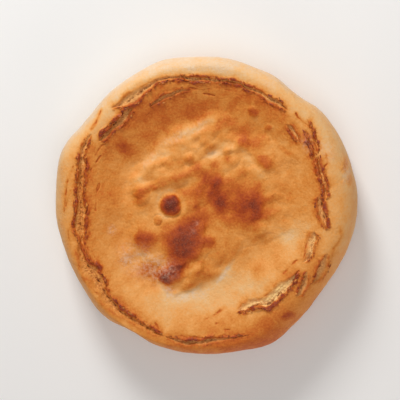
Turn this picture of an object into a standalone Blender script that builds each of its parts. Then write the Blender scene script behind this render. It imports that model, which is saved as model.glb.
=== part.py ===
"""A round, thick-rimmed baked flatbread, lying on its flat base with the sunken face up.

It starts as a turned blank, as a baker rolls a round of dough. The blank is then pulled to its uneven
outline, its middle is pressed in, blisters and folds rise on the face, and the crust tears in a ring
where the thick rim meets the thin middle.
"""

import math

import bpy
import numpy as np

MM = 0.001

# Driving dimensions, in millimetres
RADIUS = 80.0
CREST_HEIGHT = 36.0
WIDEST_HEIGHT = 15.0
TROUGH_HEIGHT = 27.0
RING_RADIUS = 71.0
CREST_OUTSIDE_RING = 3.5
FOOT_INSET = 9.0
FOOT_RING_INNER = 46.0
BASE_HOLLOW = 1.2
SHOULDER_ROUNDNESS = 2.15
HEEL_ROUNDNESS = 2.3

# The dish: its wall falls from the ring to the trough over these shares of the ring's radius
DISH_WALL_TOP = 1.03
DISH_WALL_FOOT = 0.58

# The low mound in the middle of the dish: its foot, its height, and the width of its flank
MOUND_RADIUS = 45.0
MOUND_HEIGHT = 3.2
MOUND_FLANK = 13.0

# The dish sits this far off the middle of the outline
FACE_CENTRE = (0.9, 1.7)

# Sizes on the face were read beside the outline's. The face lies nearer the eye, so this takes them down
FACE_SCALE = 0.975

# Turned blank and finished mesh
TURN_STEPS = 360
DISH_RINGS = 66
SHOULDER_RINGS = 26
HEEL_RINGS = 12
BASE_RINGS = 8
FINISHED_TRIANGLES = 11000

# Pulls of the outline: where (degrees from +X), half width (degrees), outward (mm)
OUTLINE_PULLS = [
    (5, 20, 1.1),
    (26, 16, 0.6),
    (52, 14, -2.9),
    (70, 18, -1.3),
    (106, 13, 1.4),
    (143, 13, -1.1),
    (161, 16, 2.9),
    (181, 18, 1.3),
    (226, 13, 1.2),
    (240, 11, -1.6),
    (295, 13, 1.8),
    (327, 30, -3.0),
]

# How much of those pulls reaches down to the base
PULL_AT_BASE = 0.55

# Rises and falls of the rim's crest, in the same form
CREST_PULLS = [
    (15, 60, 1.2),
    (75, 30, -0.7),
    (118, 24, 0.6),
    (150, 14, -0.8),
    (205, 50, -1.3),
    (250, 20, 0.5),
    (300, 35, 0.9),
]

# Pulls of the ring where rim and dish meet, in the same form
RING_PULLS = [
    (30, 35, -4.0),
    (60, 30, -2.5),
    (140, 22, -3.0),
    (181, 22, -3.0),
    (235, 50, 3.0),
    (318, 38, -11.0),
    (356, 40, -8.0),
]

# Pulls of the mound's foot, and of the width of its flank, in the same form
MOUND_PULLS = [
    (38, 34, 8.0),
    (82, 22, 8.0),
    (128, 34, -4.0),
    (225, 50, 8.0),
    (276, 24, -4.0),
    (308, 38, -15.0),
]
FLANK_PULLS = [
    (10, 80, 9.0),
    (118, 40, -4.0),
    (275, 60, -5.0),
]

# Blisters, steep domes: x, y, radius, height (mm)
BLISTERS = [
    (-19.2, 1.0, 5.6, 2.0),
    (-25.5, -7.0, 2.4, 0.8),
    (2.2, -18.5, 3.2, 0.8),
    (-44.5, 31.5, 3.4, 0.6),
    (26, 51, 2.8, 0.7),
]

# Soft lumps and hollows of the face, in the same form
LUMPS = [
    (-10, -17, 10, 1.6),
    (-32, -18, 5.5, 1.2),
    (6, 9, 8, 0.9),
    (24, 3, 8, 1.0),
    (20, -6, 8, 0.7),
    (-4.5, 21.5, 4.5, 1.1),
    (4, 22.5, 4.0, 0.8),
    (10.5, 26.5, 3.2, 1.0),
    (4, 30, 3.6, -1.3),
    (13, 34, 5.5, 0.9),
    (22, 37, 6.5, 1.1),
    (34, 24, 6.5, 1.1),
    (26, 24, 5, -0.8),
    (9, 45, 7, 1.2),
    (-13, 30, 6, 0.7),
    (-22, 24, 5, 0.7),
    (-21, -37, 7, 1.2),
    (-38, -30, 6, -0.8),
    (-4, -35, 8, 1.0),
    (-18.5, -47, 4, -0.9),
    (42, 2, 9, 0.8),
    (47, -17, 9, -1.0),
    (31, -36.5, 5, 0.6),
]

# Folds of the skin: half width, height (mm), and the line that each follows
FOLDS = [
    (2.6, 0.6, [(6, 55), (0, 50), (-4, 46), (-10, 43), (-20, 37.5), (-28, 30), (-35, 22)]),
    (3.2, -0.5, [(2, 56), (-4, 51), (-11, 47.5), (-22, 41.5), (-31, 34), (-38, 26)]),
    (1.8, -0.7, [(-14, -47), (-5, -44), (1, -40.5), (8, -37), (11.5, -31.5), (18, -21)]),
    (3.0, 0.35, [(-10, -50), (-2, -47), (6, -43), (13, -38), (16, -31), (22, -22)]),
    (1.8, 0.5, [(-21, -32), (-14, -30.5), (-7, -29)]),
    (2.2, 0.5, [(-41, 4), (-35, 7), (-28, 11.5), (-20, 15), (-10, 16)]),
    (1.8, -0.45, [(-42, 1), (-34, 3), (-27, 8), (-20, 11.5), (-12, 12)]),
    (2.2, -0.6, [(12, 30.5), (20, 28), (27, 19.5), (33, 16)]),
    (2.2, 0.5, [(14, 34), (23, 30), (30, 24)]),
    (2.6, 0.5, [(30, -12), (40, -14), (50, -10)]),
    (2.2, -0.5, [(26, -24), (36, -22), (46, -24)]),
]

# Tears of the crust: deepest (mm), where across it lies deepest (-1 inner edge, 1 outer edge), and its
# edges as degrees, inner radius and outer radius (mm) about the face's centre
TEARS = [
    (
        2.6,
        -0.1,
        [(97, 68.4, 69.6), (100, 70, 72.2), (105, 70.8, 73), (110, 71.6, 74), (115, 70, 73.2),
         (120, 67.6, 73.8), (125, 67.8, 73.8), (130, 70, 73.2), (134, 73.2, 73.6)],
    ),
    (
        2.4,
        0.1,
        [(49, 68.4, 68.6), (55, 66.7, 69.6), (60, 65.8, 69), (65, 66.8, 69), (70, 66.6, 69),
         (75, 67.8, 69.8), (80, 67.6, 69.6), (85, 67.8, 69.8), (90, 67.8, 70.4), (95, 66.8, 70.6),
         (98.5, 69.2, 69.4)],
    ),
    (
        3.4,
        0.5,
        [(125, 65.8, 66.6), (127, 64.2, 67.4), (130, 63, 67.4), (135, 62.8, 67.2), (140, 64, 67.8),
         (145, 64.8, 68.4), (148, 66.8, 67)],
    ),
    (
        2.0,
        0.0,
        [(146, 72.6, 72.8), (150, 71.8, 74), (154, 70.6, 74.6), (158, 69.6, 74.2), (161, 69, 72)],
    ),
    (
        3.0,
        -0.1,
        [(156, 71.8, 74.6), (160, 68.2, 72.4), (164, 67.4, 71.2), (168, 66.8, 70.4), (173, 66.2, 69.8),
         (177, 64.8, 69.4), (181, 64.2, 69.6), (184, 64.8, 70.6), (187, 65.2, 71.6), (191, 65.4, 71.2),
         (195, 67.2, 70.2), (199, 69, 69.4)],
    ),
    (
        3.0,
        -0.3,
        [(195, 71.6, 72), (198, 70.6, 73.8), (203, 69.6, 75.4), (209, 68.2, 76.2), (214, 67, 76.2),
         (219, 68.8, 76), (223, 71.4, 76.6), (229, 71.6, 76.6), (236, 70.4, 75.6), (242, 71.8, 75),
         (248, 72.2, 74.6), (253, 73.2, 73.8)],
    ),
    (
        2.2,
        -0.3,
        [(252, 73.2, 73.5), (257, 73, 75.4), (262, 73, 75.8), (267, 72, 75), (271, 70.4, 74.4),
         (275, 70.6, 73.4), (279, 71, 72.6), (285, 71.4, 72.8), (291, 72.6, 72.9)],
    ),
    (
        3.2,
        0.55,
        [(287, 57.8, 58.6), (291, 56.4, 59.8), (295.5, 55.3, 59.2), (299, 55.8, 60.2),
         (302.5, 56.4, 62.8), (307, 56.2, 63.4), (312, 56.2, 62.4), (316, 56.4, 62.2),
         (320, 57.6, 60.8), (323, 59, 59.9), (327, 60, 60.3)],
    ),
    (
        2.2,
        0.2,
        [(331, 60.2, 60.8), (335, 58.8, 62.2), (340, 57.6, 62.6), (345, 57, 62.6), (348, 57.6, 61.4),
         (350, 59, 59.6)],
    ),
    (
        2.4,
        0.0,
        [(349.5, 65, 65.6), (352, 63.2, 66.4), (357, 59.4, 65.2), (361, 58.6, 63.8), (365, 59.4, 62.8),
         (368, 61, 61.6)],
    ),
    (
        2.6,
        0.1,
        [(364, 64, 64.8), (367, 62.8, 66.2), (373, 62.4, 66.6), (378, 62.6, 66.2), (383, 62.8, 66.2),
         (387, 63.6, 67.6), (392, 64.6, 69.8), (396, 66.6, 71.4), (400, 70.4, 71.4), (403, 70.8, 71)],
    ),
    (
        1.8,
        0.0,
        [(33.5, 61, 61.3), (37, 60.8, 62.4), (40, 61, 63.6), (44, 61.2, 64), (47, 61.8, 62.4)],
    ),
    (
        1.6,
        0.3,
        [(95, 63, 63.3), (100, 62.8, 64.3), (105, 62.2, 64.6), (110, 61.4, 64.2), (115, 60.8, 63.2),
         (119, 61.8, 62.1)],
    ),
    (
        2.0,
        -0.5,
        [(325, 71.2, 71.6), (329, 70.2, 73.2), (333, 69.4, 73), (336, 69, 71.2), (339, 69.4, 69.8)],
    ),
    (
        2.0,
        -0.4,
        [(316.5, 68.6, 68.9), (320, 67.2, 69.8), (324, 65.4, 68.6), (327, 64.2, 66.2),
         (329, 64.6, 64.9)],
    ),
]
TEAR_WALL_STEEPNESS = 2.6
TEAR_DEPTH_FOR_WIDTH = 0.75
LIP_HEIGHT = 0.5
LIP_REACH = 1.6

CRUST_COLOUR = (0.62, 0.30, 0.10, 1.0)
CRUST_ROUGHNESS = 0.55


def clear_scene():
    for thing in list(bpy.data.objects):
        bpy.data.objects.remove(thing)


def smooth_step(x):
    """0 below 0, 1 above 1, and an even S between them."""
    x = np.clip(x, 0.0, 1.0)
    return x * x * (3.0 - 2.0 * x)


def pulled(base, pulls, degrees):
    """A radius that starts at base all round, with a smooth pull in or out at each place in pulls."""
    radius = np.full_like(degrees, base)
    for middle, half_width, outward in pulls:
        away = np.abs((degrees - middle + 180.0) % 360.0 - 180.0)
        share = np.clip(away / half_width, 0.0, 1.0)
        radius += outward * 0.5 * (1.0 + np.cos(math.pi * share))
    return radius


def blank_profile():
    """Half a section of the round blank, from the middle of the face out and down to that of the base."""
    crest = RING_RADIUS + CREST_OUTSIDE_RING
    points = [(crest * i / DISH_RINGS, CREST_HEIGHT) for i in range(DISH_RINGS)]
    for i in range(SHOULDER_RINGS):
        turn = 0.5 * math.pi * i / SHOULDER_RINGS
        out = math.sin(turn) ** (2.0 / SHOULDER_ROUNDNESS)
        up = math.cos(turn) ** (2.0 / SHOULDER_ROUNDNESS)
        height = WIDEST_HEIGHT + (CREST_HEIGHT - WIDEST_HEIGHT) * up
        points.append((crest + (RADIUS - crest) * out, height))
    for i in range(HEEL_RINGS + 1):
        turn = 0.5 * math.pi * i / HEEL_RINGS
        out = max(math.cos(turn), 0.0) ** (2.0 / HEEL_ROUNDNESS)
        down = math.sin(turn) ** (2.0 / HEEL_ROUNDNESS)
        points.append((RADIUS - FOOT_INSET * (1.0 - out), WIDEST_HEIGHT * (1.0 - down)))
    foot = RADIUS - FOOT_INSET
    for i in range(1, BASE_RINGS):
        points.append((foot * (1.0 - i / BASE_RINGS), 0.0))
    points.append((0.0, 0.0))
    return points


def turned_blank():
    """The blank as a plain mesh, turned about Z from its half section."""
    points = blank_profile()
    section = bpy.data.meshes.new("section")
    corners = [(r * MM, 0.0, z * MM) for r, z in points]
    section.from_pydata(corners, [(i, i + 1) for i in range(len(points) - 1)], [])
    lathe = bpy.data.objects.new("lathe", section)
    bpy.context.scene.collection.objects.link(lathe)
    turn = lathe.modifiers.new("turn", "SCREW")
    turn.axis = "Z"
    turn.angle = 2.0 * math.pi
    turn.steps = TURN_STEPS
    turn.render_steps = TURN_STEPS
    turn.use_merge_vertices = True
    turn.merge_threshold = 0.00001
    bpy.context.view_layer.update()
    evaluated = lathe.evaluated_get(bpy.context.evaluated_depsgraph_get())
    blank = bpy.data.meshes.new_from_object(evaluated)
    bpy.data.objects.remove(lathe)
    return blank


def points_of(mesh):
    points = np.empty(len(mesh.vertices) * 3, np.float32)
    mesh.vertices.foreach_get("co", points)
    return points.reshape(-1, 3).astype(float) / MM


def set_points(mesh, points):
    mesh.vertices.foreach_set("co", (points * MM).astype(np.float32).ravel())
    mesh.update()


def normals_of(mesh):
    normals = np.empty(len(mesh.vertices) * 3, np.float32)
    mesh.vertex_normals.foreach_get("vector", normals)
    return normals.reshape(-1, 3).astype(float)


def about_face(points):
    """Each point's direction (degrees) and distance (mm) from the face's centre, seen from above."""
    x, y = points[:, 0] - FACE_CENTRE[0], points[:, 1] - FACE_CENTRE[1]
    return np.degrees(np.arctan2(y, x)) % 360.0, np.hypot(x, y) / FACE_SCALE


def pull_outline(points):
    """Moves the round blank's points out or in to the uneven outline and the uneven ring."""
    degrees = np.degrees(np.arctan2(points[:, 1], points[:, 0])) % 360.0
    radius = np.hypot(points[:, 0], points[:, 1])
    outline = pulled(RADIUS, OUTLINE_PULLS, degrees)
    ring = FACE_SCALE * (pulled(RING_RADIUS, RING_PULLS, degrees) + CREST_OUTSIDE_RING)
    round_ring = RING_RADIUS + CREST_OUTSIDE_RING
    inside = radius * ring / round_ring
    outside = ring + (radius - round_ring) * (outline - ring) / (RADIUS - round_ring)
    upper = np.where(radius < round_ring, inside, outside)
    reach = PULL_AT_BASE + (1.0 - PULL_AT_BASE) * smooth_step(points[:, 2] / WIDEST_HEIGHT)
    lower = radius * (1.0 + (outline / RADIUS - 1.0) * reach)
    new_radius = np.where(points[:, 2] >= WIDEST_HEIGHT, upper, lower)
    scale = np.where(radius > 1e-6, new_radius / np.maximum(radius, 1e-6), 1.0)
    # The face moves with its own centre, and the outline stays
    shift = smooth_step((points[:, 2] - WIDEST_HEIGHT) / (CREST_HEIGHT - WIDEST_HEIGHT))
    made = points.copy()
    made[:, 0] = points[:, 0] * scale + FACE_CENTRE[0] * shift
    made[:, 1] = points[:, 1] * scale + FACE_CENTRE[1] * shift
    return made


def distance_to_line(x, y, line):
    """Each point's distance to the line through the given corners (mm)."""
    nearest = np.full(len(x), 1e6)
    for (ax, ay), (bx, by) in zip(line, line[1:]):
        run, rise = bx - ax, by - ay
        along = np.clip(((x - ax) * run + (y - ay) * rise) / (run * run + rise * rise), 0.0, 1.0)
        nearest = np.minimum(nearest, np.hypot(x - ax - along * run, y - ay - along * rise))
    return nearest


def lumps_and_folds(x, y):
    """How far the blisters, lumps and folds raise the face at each place (mm)."""
    raised = np.zeros(len(x))
    for lump_x, lump_y, radius, height in LUMPS:
        raised += height * np.exp(-((x - lump_x) ** 2 + (y - lump_y) ** 2) / radius**2)
    for blister_x, blister_y, radius, height in BLISTERS:
        away = ((x - blister_x) ** 2 + (y - blister_y) ** 2) / radius**2
        raised += height * np.exp(-(away**2))
    for half_width, height, line in FOLDS:
        raised += height * np.exp(-((distance_to_line(x, y, line) / half_width) ** 2))
    return raised


def press_face(points):
    """Presses the dish into the top, and raises the crest, the mound and the lumps on it."""
    degrees, radius = about_face(points)
    ring = pulled(RING_RADIUS, RING_PULLS, degrees)
    mound = pulled(MOUND_RADIUS, MOUND_PULLS, degrees)
    flank = pulled(MOUND_FLANK, FLANK_PULLS, degrees)
    wall = smooth_step((radius / ring - DISH_WALL_FOOT) / (DISH_WALL_TOP - DISH_WALL_FOOT))
    relief = (TROUGH_HEIGHT - CREST_HEIGHT) * (1.0 - wall)
    relief += MOUND_HEIGHT * smooth_step((mound - radius) / flank)
    relief += pulled(0.0, CREST_PULLS, degrees) * smooth_step(radius / RING_RADIUS)
    turn = np.radians(degrees)
    relief += lumps_and_folds(radius * np.cos(turn), radius * np.sin(turn))
    top = smooth_step((points[:, 2] - WIDEST_HEIGHT) / (CREST_HEIGHT - WIDEST_HEIGHT))
    made = points.copy()
    made[:, 2] += relief * top
    return made


def hollow_base(points):
    """Lifts the middle of the base a little, so that the bread rests on a flat ring."""
    radius = np.hypot(points[:, 0], points[:, 1])
    made = points.copy()
    base = points[:, 2] < 1e-3
    made[:, 2] += np.where(base, BASE_HOLLOW * smooth_step(1.0 - radius / FOOT_RING_INNER), 0.0)
    return made


def tear_depths(points):
    """How far each point sinks into a tear, less how far it rises on a tear's lip (mm)."""
    degrees, radius = about_face(points)
    depth = np.zeros(len(points))
    for deepest, deepest_at, edges in TEARS:
        where = [e[0] for e in edges]
        turned = where[0] + (degrees - where[0]) % 360.0
        inner = np.interp(turned, where, [e[1] for e in edges])
        outer = np.interp(turned, where, [e[2] for e in edges])
        opening = outer - inner
        across = (2.0 * radius - inner - outer) / np.maximum(opening, 0.3)
        reached = turned <= where[-1]
        share = np.where(
            across < deepest_at,
            (deepest_at - across) / (1.0 + deepest_at),
            (across - deepest_at) / (1.0 - deepest_at),
        )
        sunk = np.minimum(deepest, TEAR_DEPTH_FOR_WIDTH * opening)
        sunk = sunk * (1.0 - np.clip(share, 0.0, 1.0) ** TEAR_WALL_STEEPNESS)
        beyond = (np.abs(across) - 1.0) * 0.5 * opening / LIP_REACH
        lip = LIP_HEIGHT * np.exp(-(beyond**2)) * smooth_step(opening / 2.0)
        depth += np.where(reached, np.where(share < 1.0, sunk, -lip * (beyond > 0.0)), 0.0)
    return depth * smooth_step((points[:, 2] - WIDEST_HEIGHT) / (0.3 * CREST_HEIGHT))


def tear_crust(mesh):
    """Opens the tears, straight down into the crust at each point."""
    points = points_of(mesh)
    set_points(mesh, points - normals_of(mesh) * tear_depths(points)[:, None])


def thinned(mesh):
    """The mesh with fewer triangles, kept where the shape needs them."""
    full = bpy.data.objects.new("full", mesh)
    bpy.context.scene.collection.objects.link(full)
    fewer = full.modifiers.new("fewer", "DECIMATE")
    fewer.ratio = FINISHED_TRIANGLES / (2.0 * len(mesh.polygons))
    fewer.use_collapse_triangulate = True
    bpy.context.view_layer.update()
    evaluated = full.evaluated_get(bpy.context.evaluated_depsgraph_get())
    made = bpy.data.meshes.new_from_object(evaluated)
    bpy.data.objects.remove(full)
    return made


def set_on_origin(mesh):
    """Sets the resting ring flat at height 0, and the outline's middle over the origin."""
    points = points_of(mesh)
    points[:, 2] = np.where(points[:, 2] < 0.05, 0.0, points[:, 2])
    points[:, :2] -= 0.5 * (points[:, :2].min(axis=0) + points[:, :2].max(axis=0))
    set_points(mesh, points)


def crust_material():
    material = bpy.data.materials.new("baked_crust")
    material.use_nodes = True
    shader = material.node_tree.nodes["Principled BSDF"]
    shader.inputs["Base Color"].default_value = CRUST_COLOUR
    shader.inputs["Roughness"].default_value = CRUST_ROUGHNESS
    shader.inputs["Metallic"].default_value = 0.0
    return material


def bread():
    dough = turned_blank()
    set_points(dough, hollow_base(press_face(pull_outline(points_of(dough)))))
    tear_crust(dough)
    baked = thinned(dough)
    set_on_origin(baked)
    baked.name = "shaobing"
    baked.materials.append(crust_material())
    baked.shade_smooth()
    loaf = bpy.data.objects.new("shaobing", baked)
    group = bpy.data.collections.new("shaobing")
    bpy.context.scene.collection.children.link(group)
    group.objects.link(loaf)
    return loaf


def main():
    clear_scene()
    bread()


main()
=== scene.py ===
# %% [markdown]
# # A shaobing in Blender
# A shaobing is a round flatbread. This one is baked against a hot wall: its rim puffs up thick and
# stays pale, its middle stays thin and browns, and the crust tears in a ring where the two pull apart.
#
# The lesson starts from a plain solid of the bread and ends with one that an eye would believe:
# a turned round of dough, pulled out of true, blistered, torn and browned.

import math

import bmesh
import bpy
import numpy as np
from mathutils import Matrix, Vector


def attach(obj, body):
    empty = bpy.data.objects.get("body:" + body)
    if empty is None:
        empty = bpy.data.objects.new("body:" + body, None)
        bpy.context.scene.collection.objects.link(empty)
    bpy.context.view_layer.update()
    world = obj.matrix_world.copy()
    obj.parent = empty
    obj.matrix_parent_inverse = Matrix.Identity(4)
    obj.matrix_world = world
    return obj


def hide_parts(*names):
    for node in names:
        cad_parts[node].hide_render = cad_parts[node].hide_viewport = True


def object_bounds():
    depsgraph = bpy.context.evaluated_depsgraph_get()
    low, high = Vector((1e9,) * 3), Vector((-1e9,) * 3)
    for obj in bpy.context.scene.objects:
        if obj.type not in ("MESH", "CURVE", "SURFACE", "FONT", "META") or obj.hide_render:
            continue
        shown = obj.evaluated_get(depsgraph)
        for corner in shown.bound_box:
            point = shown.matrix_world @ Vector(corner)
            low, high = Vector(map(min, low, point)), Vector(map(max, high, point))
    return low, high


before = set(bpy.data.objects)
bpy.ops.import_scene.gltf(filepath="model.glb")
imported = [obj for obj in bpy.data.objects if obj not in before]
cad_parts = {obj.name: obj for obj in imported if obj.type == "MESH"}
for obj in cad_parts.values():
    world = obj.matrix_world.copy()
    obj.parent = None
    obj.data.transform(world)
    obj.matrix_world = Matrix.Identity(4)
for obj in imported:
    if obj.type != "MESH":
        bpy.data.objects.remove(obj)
PLAIN_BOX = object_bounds()
MM = 0.001
print("plain solid, mm:", [round((high - low) / MM, 1) for low, high in zip(*PLAIN_BOX)])

# %% [markdown]
# ## The camera
# The bread lies on the table with its face up, so the camera looks down on it. It leans a few degrees
# towards the top and the right of the face. A long lens from 65 cm keeps the round of the bread true.

# %% Camera
SENSOR_WIDTH = 36.0
CAMERA_DISTANCE = 0.65
CAMERA_LEAN = (math.radians(4.0), math.radians(7.0))
CAMERA_TARGET = Vector((-0.0030, 0.0035, 0.015))
WIDTH_IN_VIEW = 0.2150

lens = bpy.data.cameras.new("camera")
lens.sensor_width = SENSOR_WIDTH
lens.lens = SENSOR_WIDTH * CAMERA_DISTANCE / WIDTH_IN_VIEW
camera = bpy.data.objects.new("camera", lens)
bpy.context.scene.collection.objects.link(camera)
away = Vector((math.tan(CAMERA_LEAN[0]), math.tan(CAMERA_LEAN[1]), 1.0)).normalized()
right = Vector((0.0, 1.0, 0.0)).cross(away).normalized()
up = away.cross(right)
camera.location = CAMERA_TARGET + away * CAMERA_DISTANCE
camera.rotation_euler = Matrix((right, up, away)).transposed().to_euler()
bpy.context.scene.camera = camera
print("lens, mm:", round(lens.lens))

# %% [markdown]
# ## The studio lamps
# Bread looks dry and grey under hard light. A large soft lamp low over the top of the face models the
# folds, a wide one overhead fills their shadows, and a weak warm one from below the face lights the
# near wall, as a table in front of it would. The camera doesn't see the lamps themselves, so that
# none shows in a view from the side.

# %% Lamps
def lamp(name, place, size, watts, colour=(1.0, 1.0, 1.0)):
    """A square soft lamp at place (metres), turned to the bread."""
    light = bpy.data.lights.new(name, "AREA")
    light.size = size
    light.energy = watts
    light.color = colour
    made = bpy.data.objects.new(name, light)
    made.location = place
    made.rotation_euler = Vector(place).to_track_quat("Z", "Y").to_euler()
    made.visible_camera = False
    bpy.context.scene.collection.objects.link(made)
    return made


lamps = [
    lamp("key", (-0.22, 0.84, 0.58), 0.30, 7.9, (1.0, 0.98, 0.95)),
    lamp("fill", (0.10, -0.10, 1.30), 0.90, 3.9),
    lamp("bounce", (0.30, -1.00, 0.35), 0.50, 2.4, (1.0, 0.80, 0.66)),
]
world = bpy.data.worlds.new("studio")
world.use_nodes = True
sky = world.node_tree.nodes["Background"].inputs
sky["Color"].default_value = (1.0, 0.985, 0.965, 1.0)
sky["Strength"].default_value = 0.30
bpy.context.scene.world = world
bpy.context.scene.view_settings.view_transform = "Standard"
print("lamps:", [made.name for made in lamps])

# %% [markdown]
# ## The floor
# A plain pale floor catches the bread's soft shadow and throws light back up at its wall.

# %% Floor
FLOOR_REACH = 3.0

floor_mesh = bpy.data.meshes.new("floor")
corners = [(-FLOOR_REACH, -FLOOR_REACH), (FLOOR_REACH, -FLOOR_REACH), (FLOOR_REACH, FLOOR_REACH)]
corners.append((-FLOOR_REACH, FLOOR_REACH))
floor_mesh.from_pydata([(x, y, 0.0) for x, y in corners], [], [(0, 1, 2, 3)])
floor = bpy.data.objects.new("floor", floor_mesh)
bpy.context.scene.collection.objects.link(floor)
pale = bpy.data.materials.new("pale_floor")
pale.use_nodes = True
pale_inputs = pale.node_tree.nodes["Principled BSDF"].inputs
pale_inputs["Base Color"].default_value = (0.86, 0.86, 0.86, 1.0)
pale_inputs["Roughness"].default_value = 0.9
floor_mesh.materials.append(pale)
print("floor, metres across:", 2.0 * FLOOR_REACH)

# %% [markdown]
# ## The sizes of the dough
# All shapes below are in millimetres. The dough is a round with a thick rim, and the named sizes are
# those of the plain solid, so that the finished bread fills the same box. Sizes on the face were read as
# they look beside the outline. The face lies nearer the camera, so `FACE_SCALE` takes them all down.
#
# The two roundness values are powers. At 2 the section is a circle's arc, and above it a fuller one.
# The top and foot of the dish's wall are shares of the ring's radius.

# %% Main sizes
RADIUS = 80.0
CREST_HEIGHT = 36.0
WIDEST_HEIGHT = 15.0
TROUGH_HEIGHT = 27.0
RING_RADIUS = 71.0
CREST_OUTSIDE_RING = 3.5
FOOT_INSET = 9.0
FOOT_RING_INNER = 46.0
BASE_HOLLOW = 1.2
SHOULDER_ROUNDNESS = 2.15
HEEL_ROUNDNESS = 2.3
DISH_WALL_TOP = 1.03
DISH_WALL_FOOT = 0.58
MOUND_RADIUS = 45.0
MOUND_HEIGHT = 3.2
MOUND_FLANK = 13.0
FACE_CENTRE = (0.9, 1.7)
FACE_SCALE = 0.975
PULL_AT_BASE = 0.55
print("bread, mm:", 2.0 * RADIUS, "across,", CREST_HEIGHT, "high at the rim,", TROUGH_HEIGHT, "in the dish")

# %% [markdown]
# ## Two shaping tools
# `smooth_step` eases between two levels, like a thumb drawn over clay. `pulled` gives a radius for each
# direction round the bread: a true circle, pulled in or out at named places. Dough is never quite
# round, and a few such pulls look right where random noise looks nervous.

# %% Shaping tools
def smooth_step(x):
    """0 below 0, 1 above 1, and an even S between them."""
    x = np.clip(x, 0.0, 1.0)
    return x * x * (3.0 - 2.0 * x)


def pulled(base, pulls, degrees):
    """A radius that starts at base all round, with a smooth pull in or out at each place in pulls."""
    radius = np.full_like(degrees, base)
    for middle, half_width, outward in pulls:
        off = np.abs((degrees - middle + 180.0) % 360.0 - 180.0)
        radius += outward * 0.5 * (1.0 + np.cos(math.pi * np.clip(off / half_width, 0.0, 1.0)))
    return radius


# Each pull: where (degrees from +X), half width (degrees), outward (mm)
OUTLINE_PULLS = [
    (5, 20, 1.1), (26, 16, 0.6), (52, 14, -2.9), (70, 18, -1.3), (106, 13, 1.4), (143, 13, -1.1),
    (161, 16, 2.9), (181, 18, 1.3), (226, 13, 1.2), (240, 11, -1.6), (295, 13, 1.8), (327, 30, -3.0),
]
CREST_PULLS = [
    (15, 60, 1.2), (75, 30, -0.7), (118, 24, 0.6), (150, 14, -0.8), (205, 50, -1.3), (250, 20, 0.5),
    (300, 35, 0.9),
]
RING_PULLS = [
    (30, 35, -4.0), (60, 30, -2.5), (140, 22, -3.0), (181, 22, -3.0), (235, 50, 3.0), (318, 38, -11.0),
    (356, 40, -8.0),
]
MOUND_PULLS = [
    (38, 34, 8.0), (82, 22, 8.0), (128, 34, -4.0), (225, 50, 8.0), (276, 24, -4.0), (308, 38, -15.0),
]
FLANK_PULLS = [(10, 80, 9.0), (130, 60, 5.0), (300, 70, 9.0)]
quarter = pulled(RADIUS, OUTLINE_PULLS, np.arange(0.0, 360.0, 90.0))
print("outline at the right, top, left and bottom, mm:", quarter.round(1))

# %% [markdown]
# ## Grain
# Crust has unevenness at every scale. `grain` is smooth random relief with lumps of a chosen size: a
# lattice of fixed random values, blended between its corners and turned out of line with the bread.
# `rough` adds finer grains on coarse ones. Each kind of relief has its own seed, so the bread bakes
# the same each time.

# %% Grain
TURNED = np.array([(0.80, 0.51, -0.32), (-0.59, 0.77, -0.24), (0.12, 0.38, 0.92)])
LATTICE = 32


def grain(points, size, seed):
    """Smooth random relief from -1 to 1 at each point, with lumps of about size (mm)."""
    lattice = np.random.default_rng(seed).uniform(-1.0, 1.0, (LATTICE, LATTICE, LATTICE))
    at = points @ TURNED / size
    cell = np.floor(at).astype(int)
    part = at - cell
    part = part * part * (3.0 - 2.0 * part)
    total = np.zeros(len(points))
    for corner in np.ndindex(2, 2, 2):
        weight = np.where(corner, part, 1.0 - part).prod(axis=1)
        i, j, k = ((cell + corner) % LATTICE).T
        total += weight * lattice[i, j, k]
    return total


def rough(points, size, seed, layers=3):
    """Grain of a size with finer grain on it, each layer half as large and half as high."""
    total = sum(grain(points, size / 2**layer, seed + layer) / 2**layer for layer in range(layers))
    return total / (2.0 - 0.5 ** (layers - 1))


print("grain at four places:", grain(np.eye(4, 3) * 9.0, 5.0, 1).round(2))

# %% [markdown]
# ## Turning the blank
# The Screw modifier turns half a section about Z, as on a lathe. The rings lie close where the crust
# will tear, from 54 mm outwards, and wider where the bread stays smooth.

# %% Turned blank
TURN_STEPS = 1200
FACE_RINGS = 56
TEAR_RINGS = 70
TEAR_ZONE_FROM = 54.0
SHOULDER_RINGS = 42
HEEL_RINGS = 14
BASE_RINGS = 12


def blank_profile():
    """Half a section of the round blank, from the middle of its face to the middle of its base."""
    crest = RING_RADIUS + CREST_OUTSIDE_RING
    points = [(TEAR_ZONE_FROM * i / FACE_RINGS, CREST_HEIGHT) for i in range(FACE_RINGS)]
    step = (crest - TEAR_ZONE_FROM) / TEAR_RINGS
    points += [(TEAR_ZONE_FROM + step * i, CREST_HEIGHT) for i in range(TEAR_RINGS)]
    for i in range(SHOULDER_RINGS):
        turn = 0.5 * math.pi * i / SHOULDER_RINGS
        out = math.sin(turn) ** (2.0 / SHOULDER_ROUNDNESS)
        up = math.cos(turn) ** (2.0 / SHOULDER_ROUNDNESS)
        height = WIDEST_HEIGHT + (CREST_HEIGHT - WIDEST_HEIGHT) * up
        points.append((crest + (RADIUS - crest) * out, height))
    for i in range(HEEL_RINGS + 1):
        turn = 0.5 * math.pi * i / HEEL_RINGS
        out = max(math.cos(turn), 0.0) ** (2.0 / HEEL_ROUNDNESS)
        down = math.sin(turn) ** (2.0 / HEEL_ROUNDNESS)
        points.append((RADIUS - FOOT_INSET * (1.0 - out), WIDEST_HEIGHT * (1.0 - down)))
    foot = RADIUS - FOOT_INSET
    return points + [(foot * (1.0 - i / BASE_RINGS), 0.0) for i in range(1, BASE_RINGS + 1)]


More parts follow.
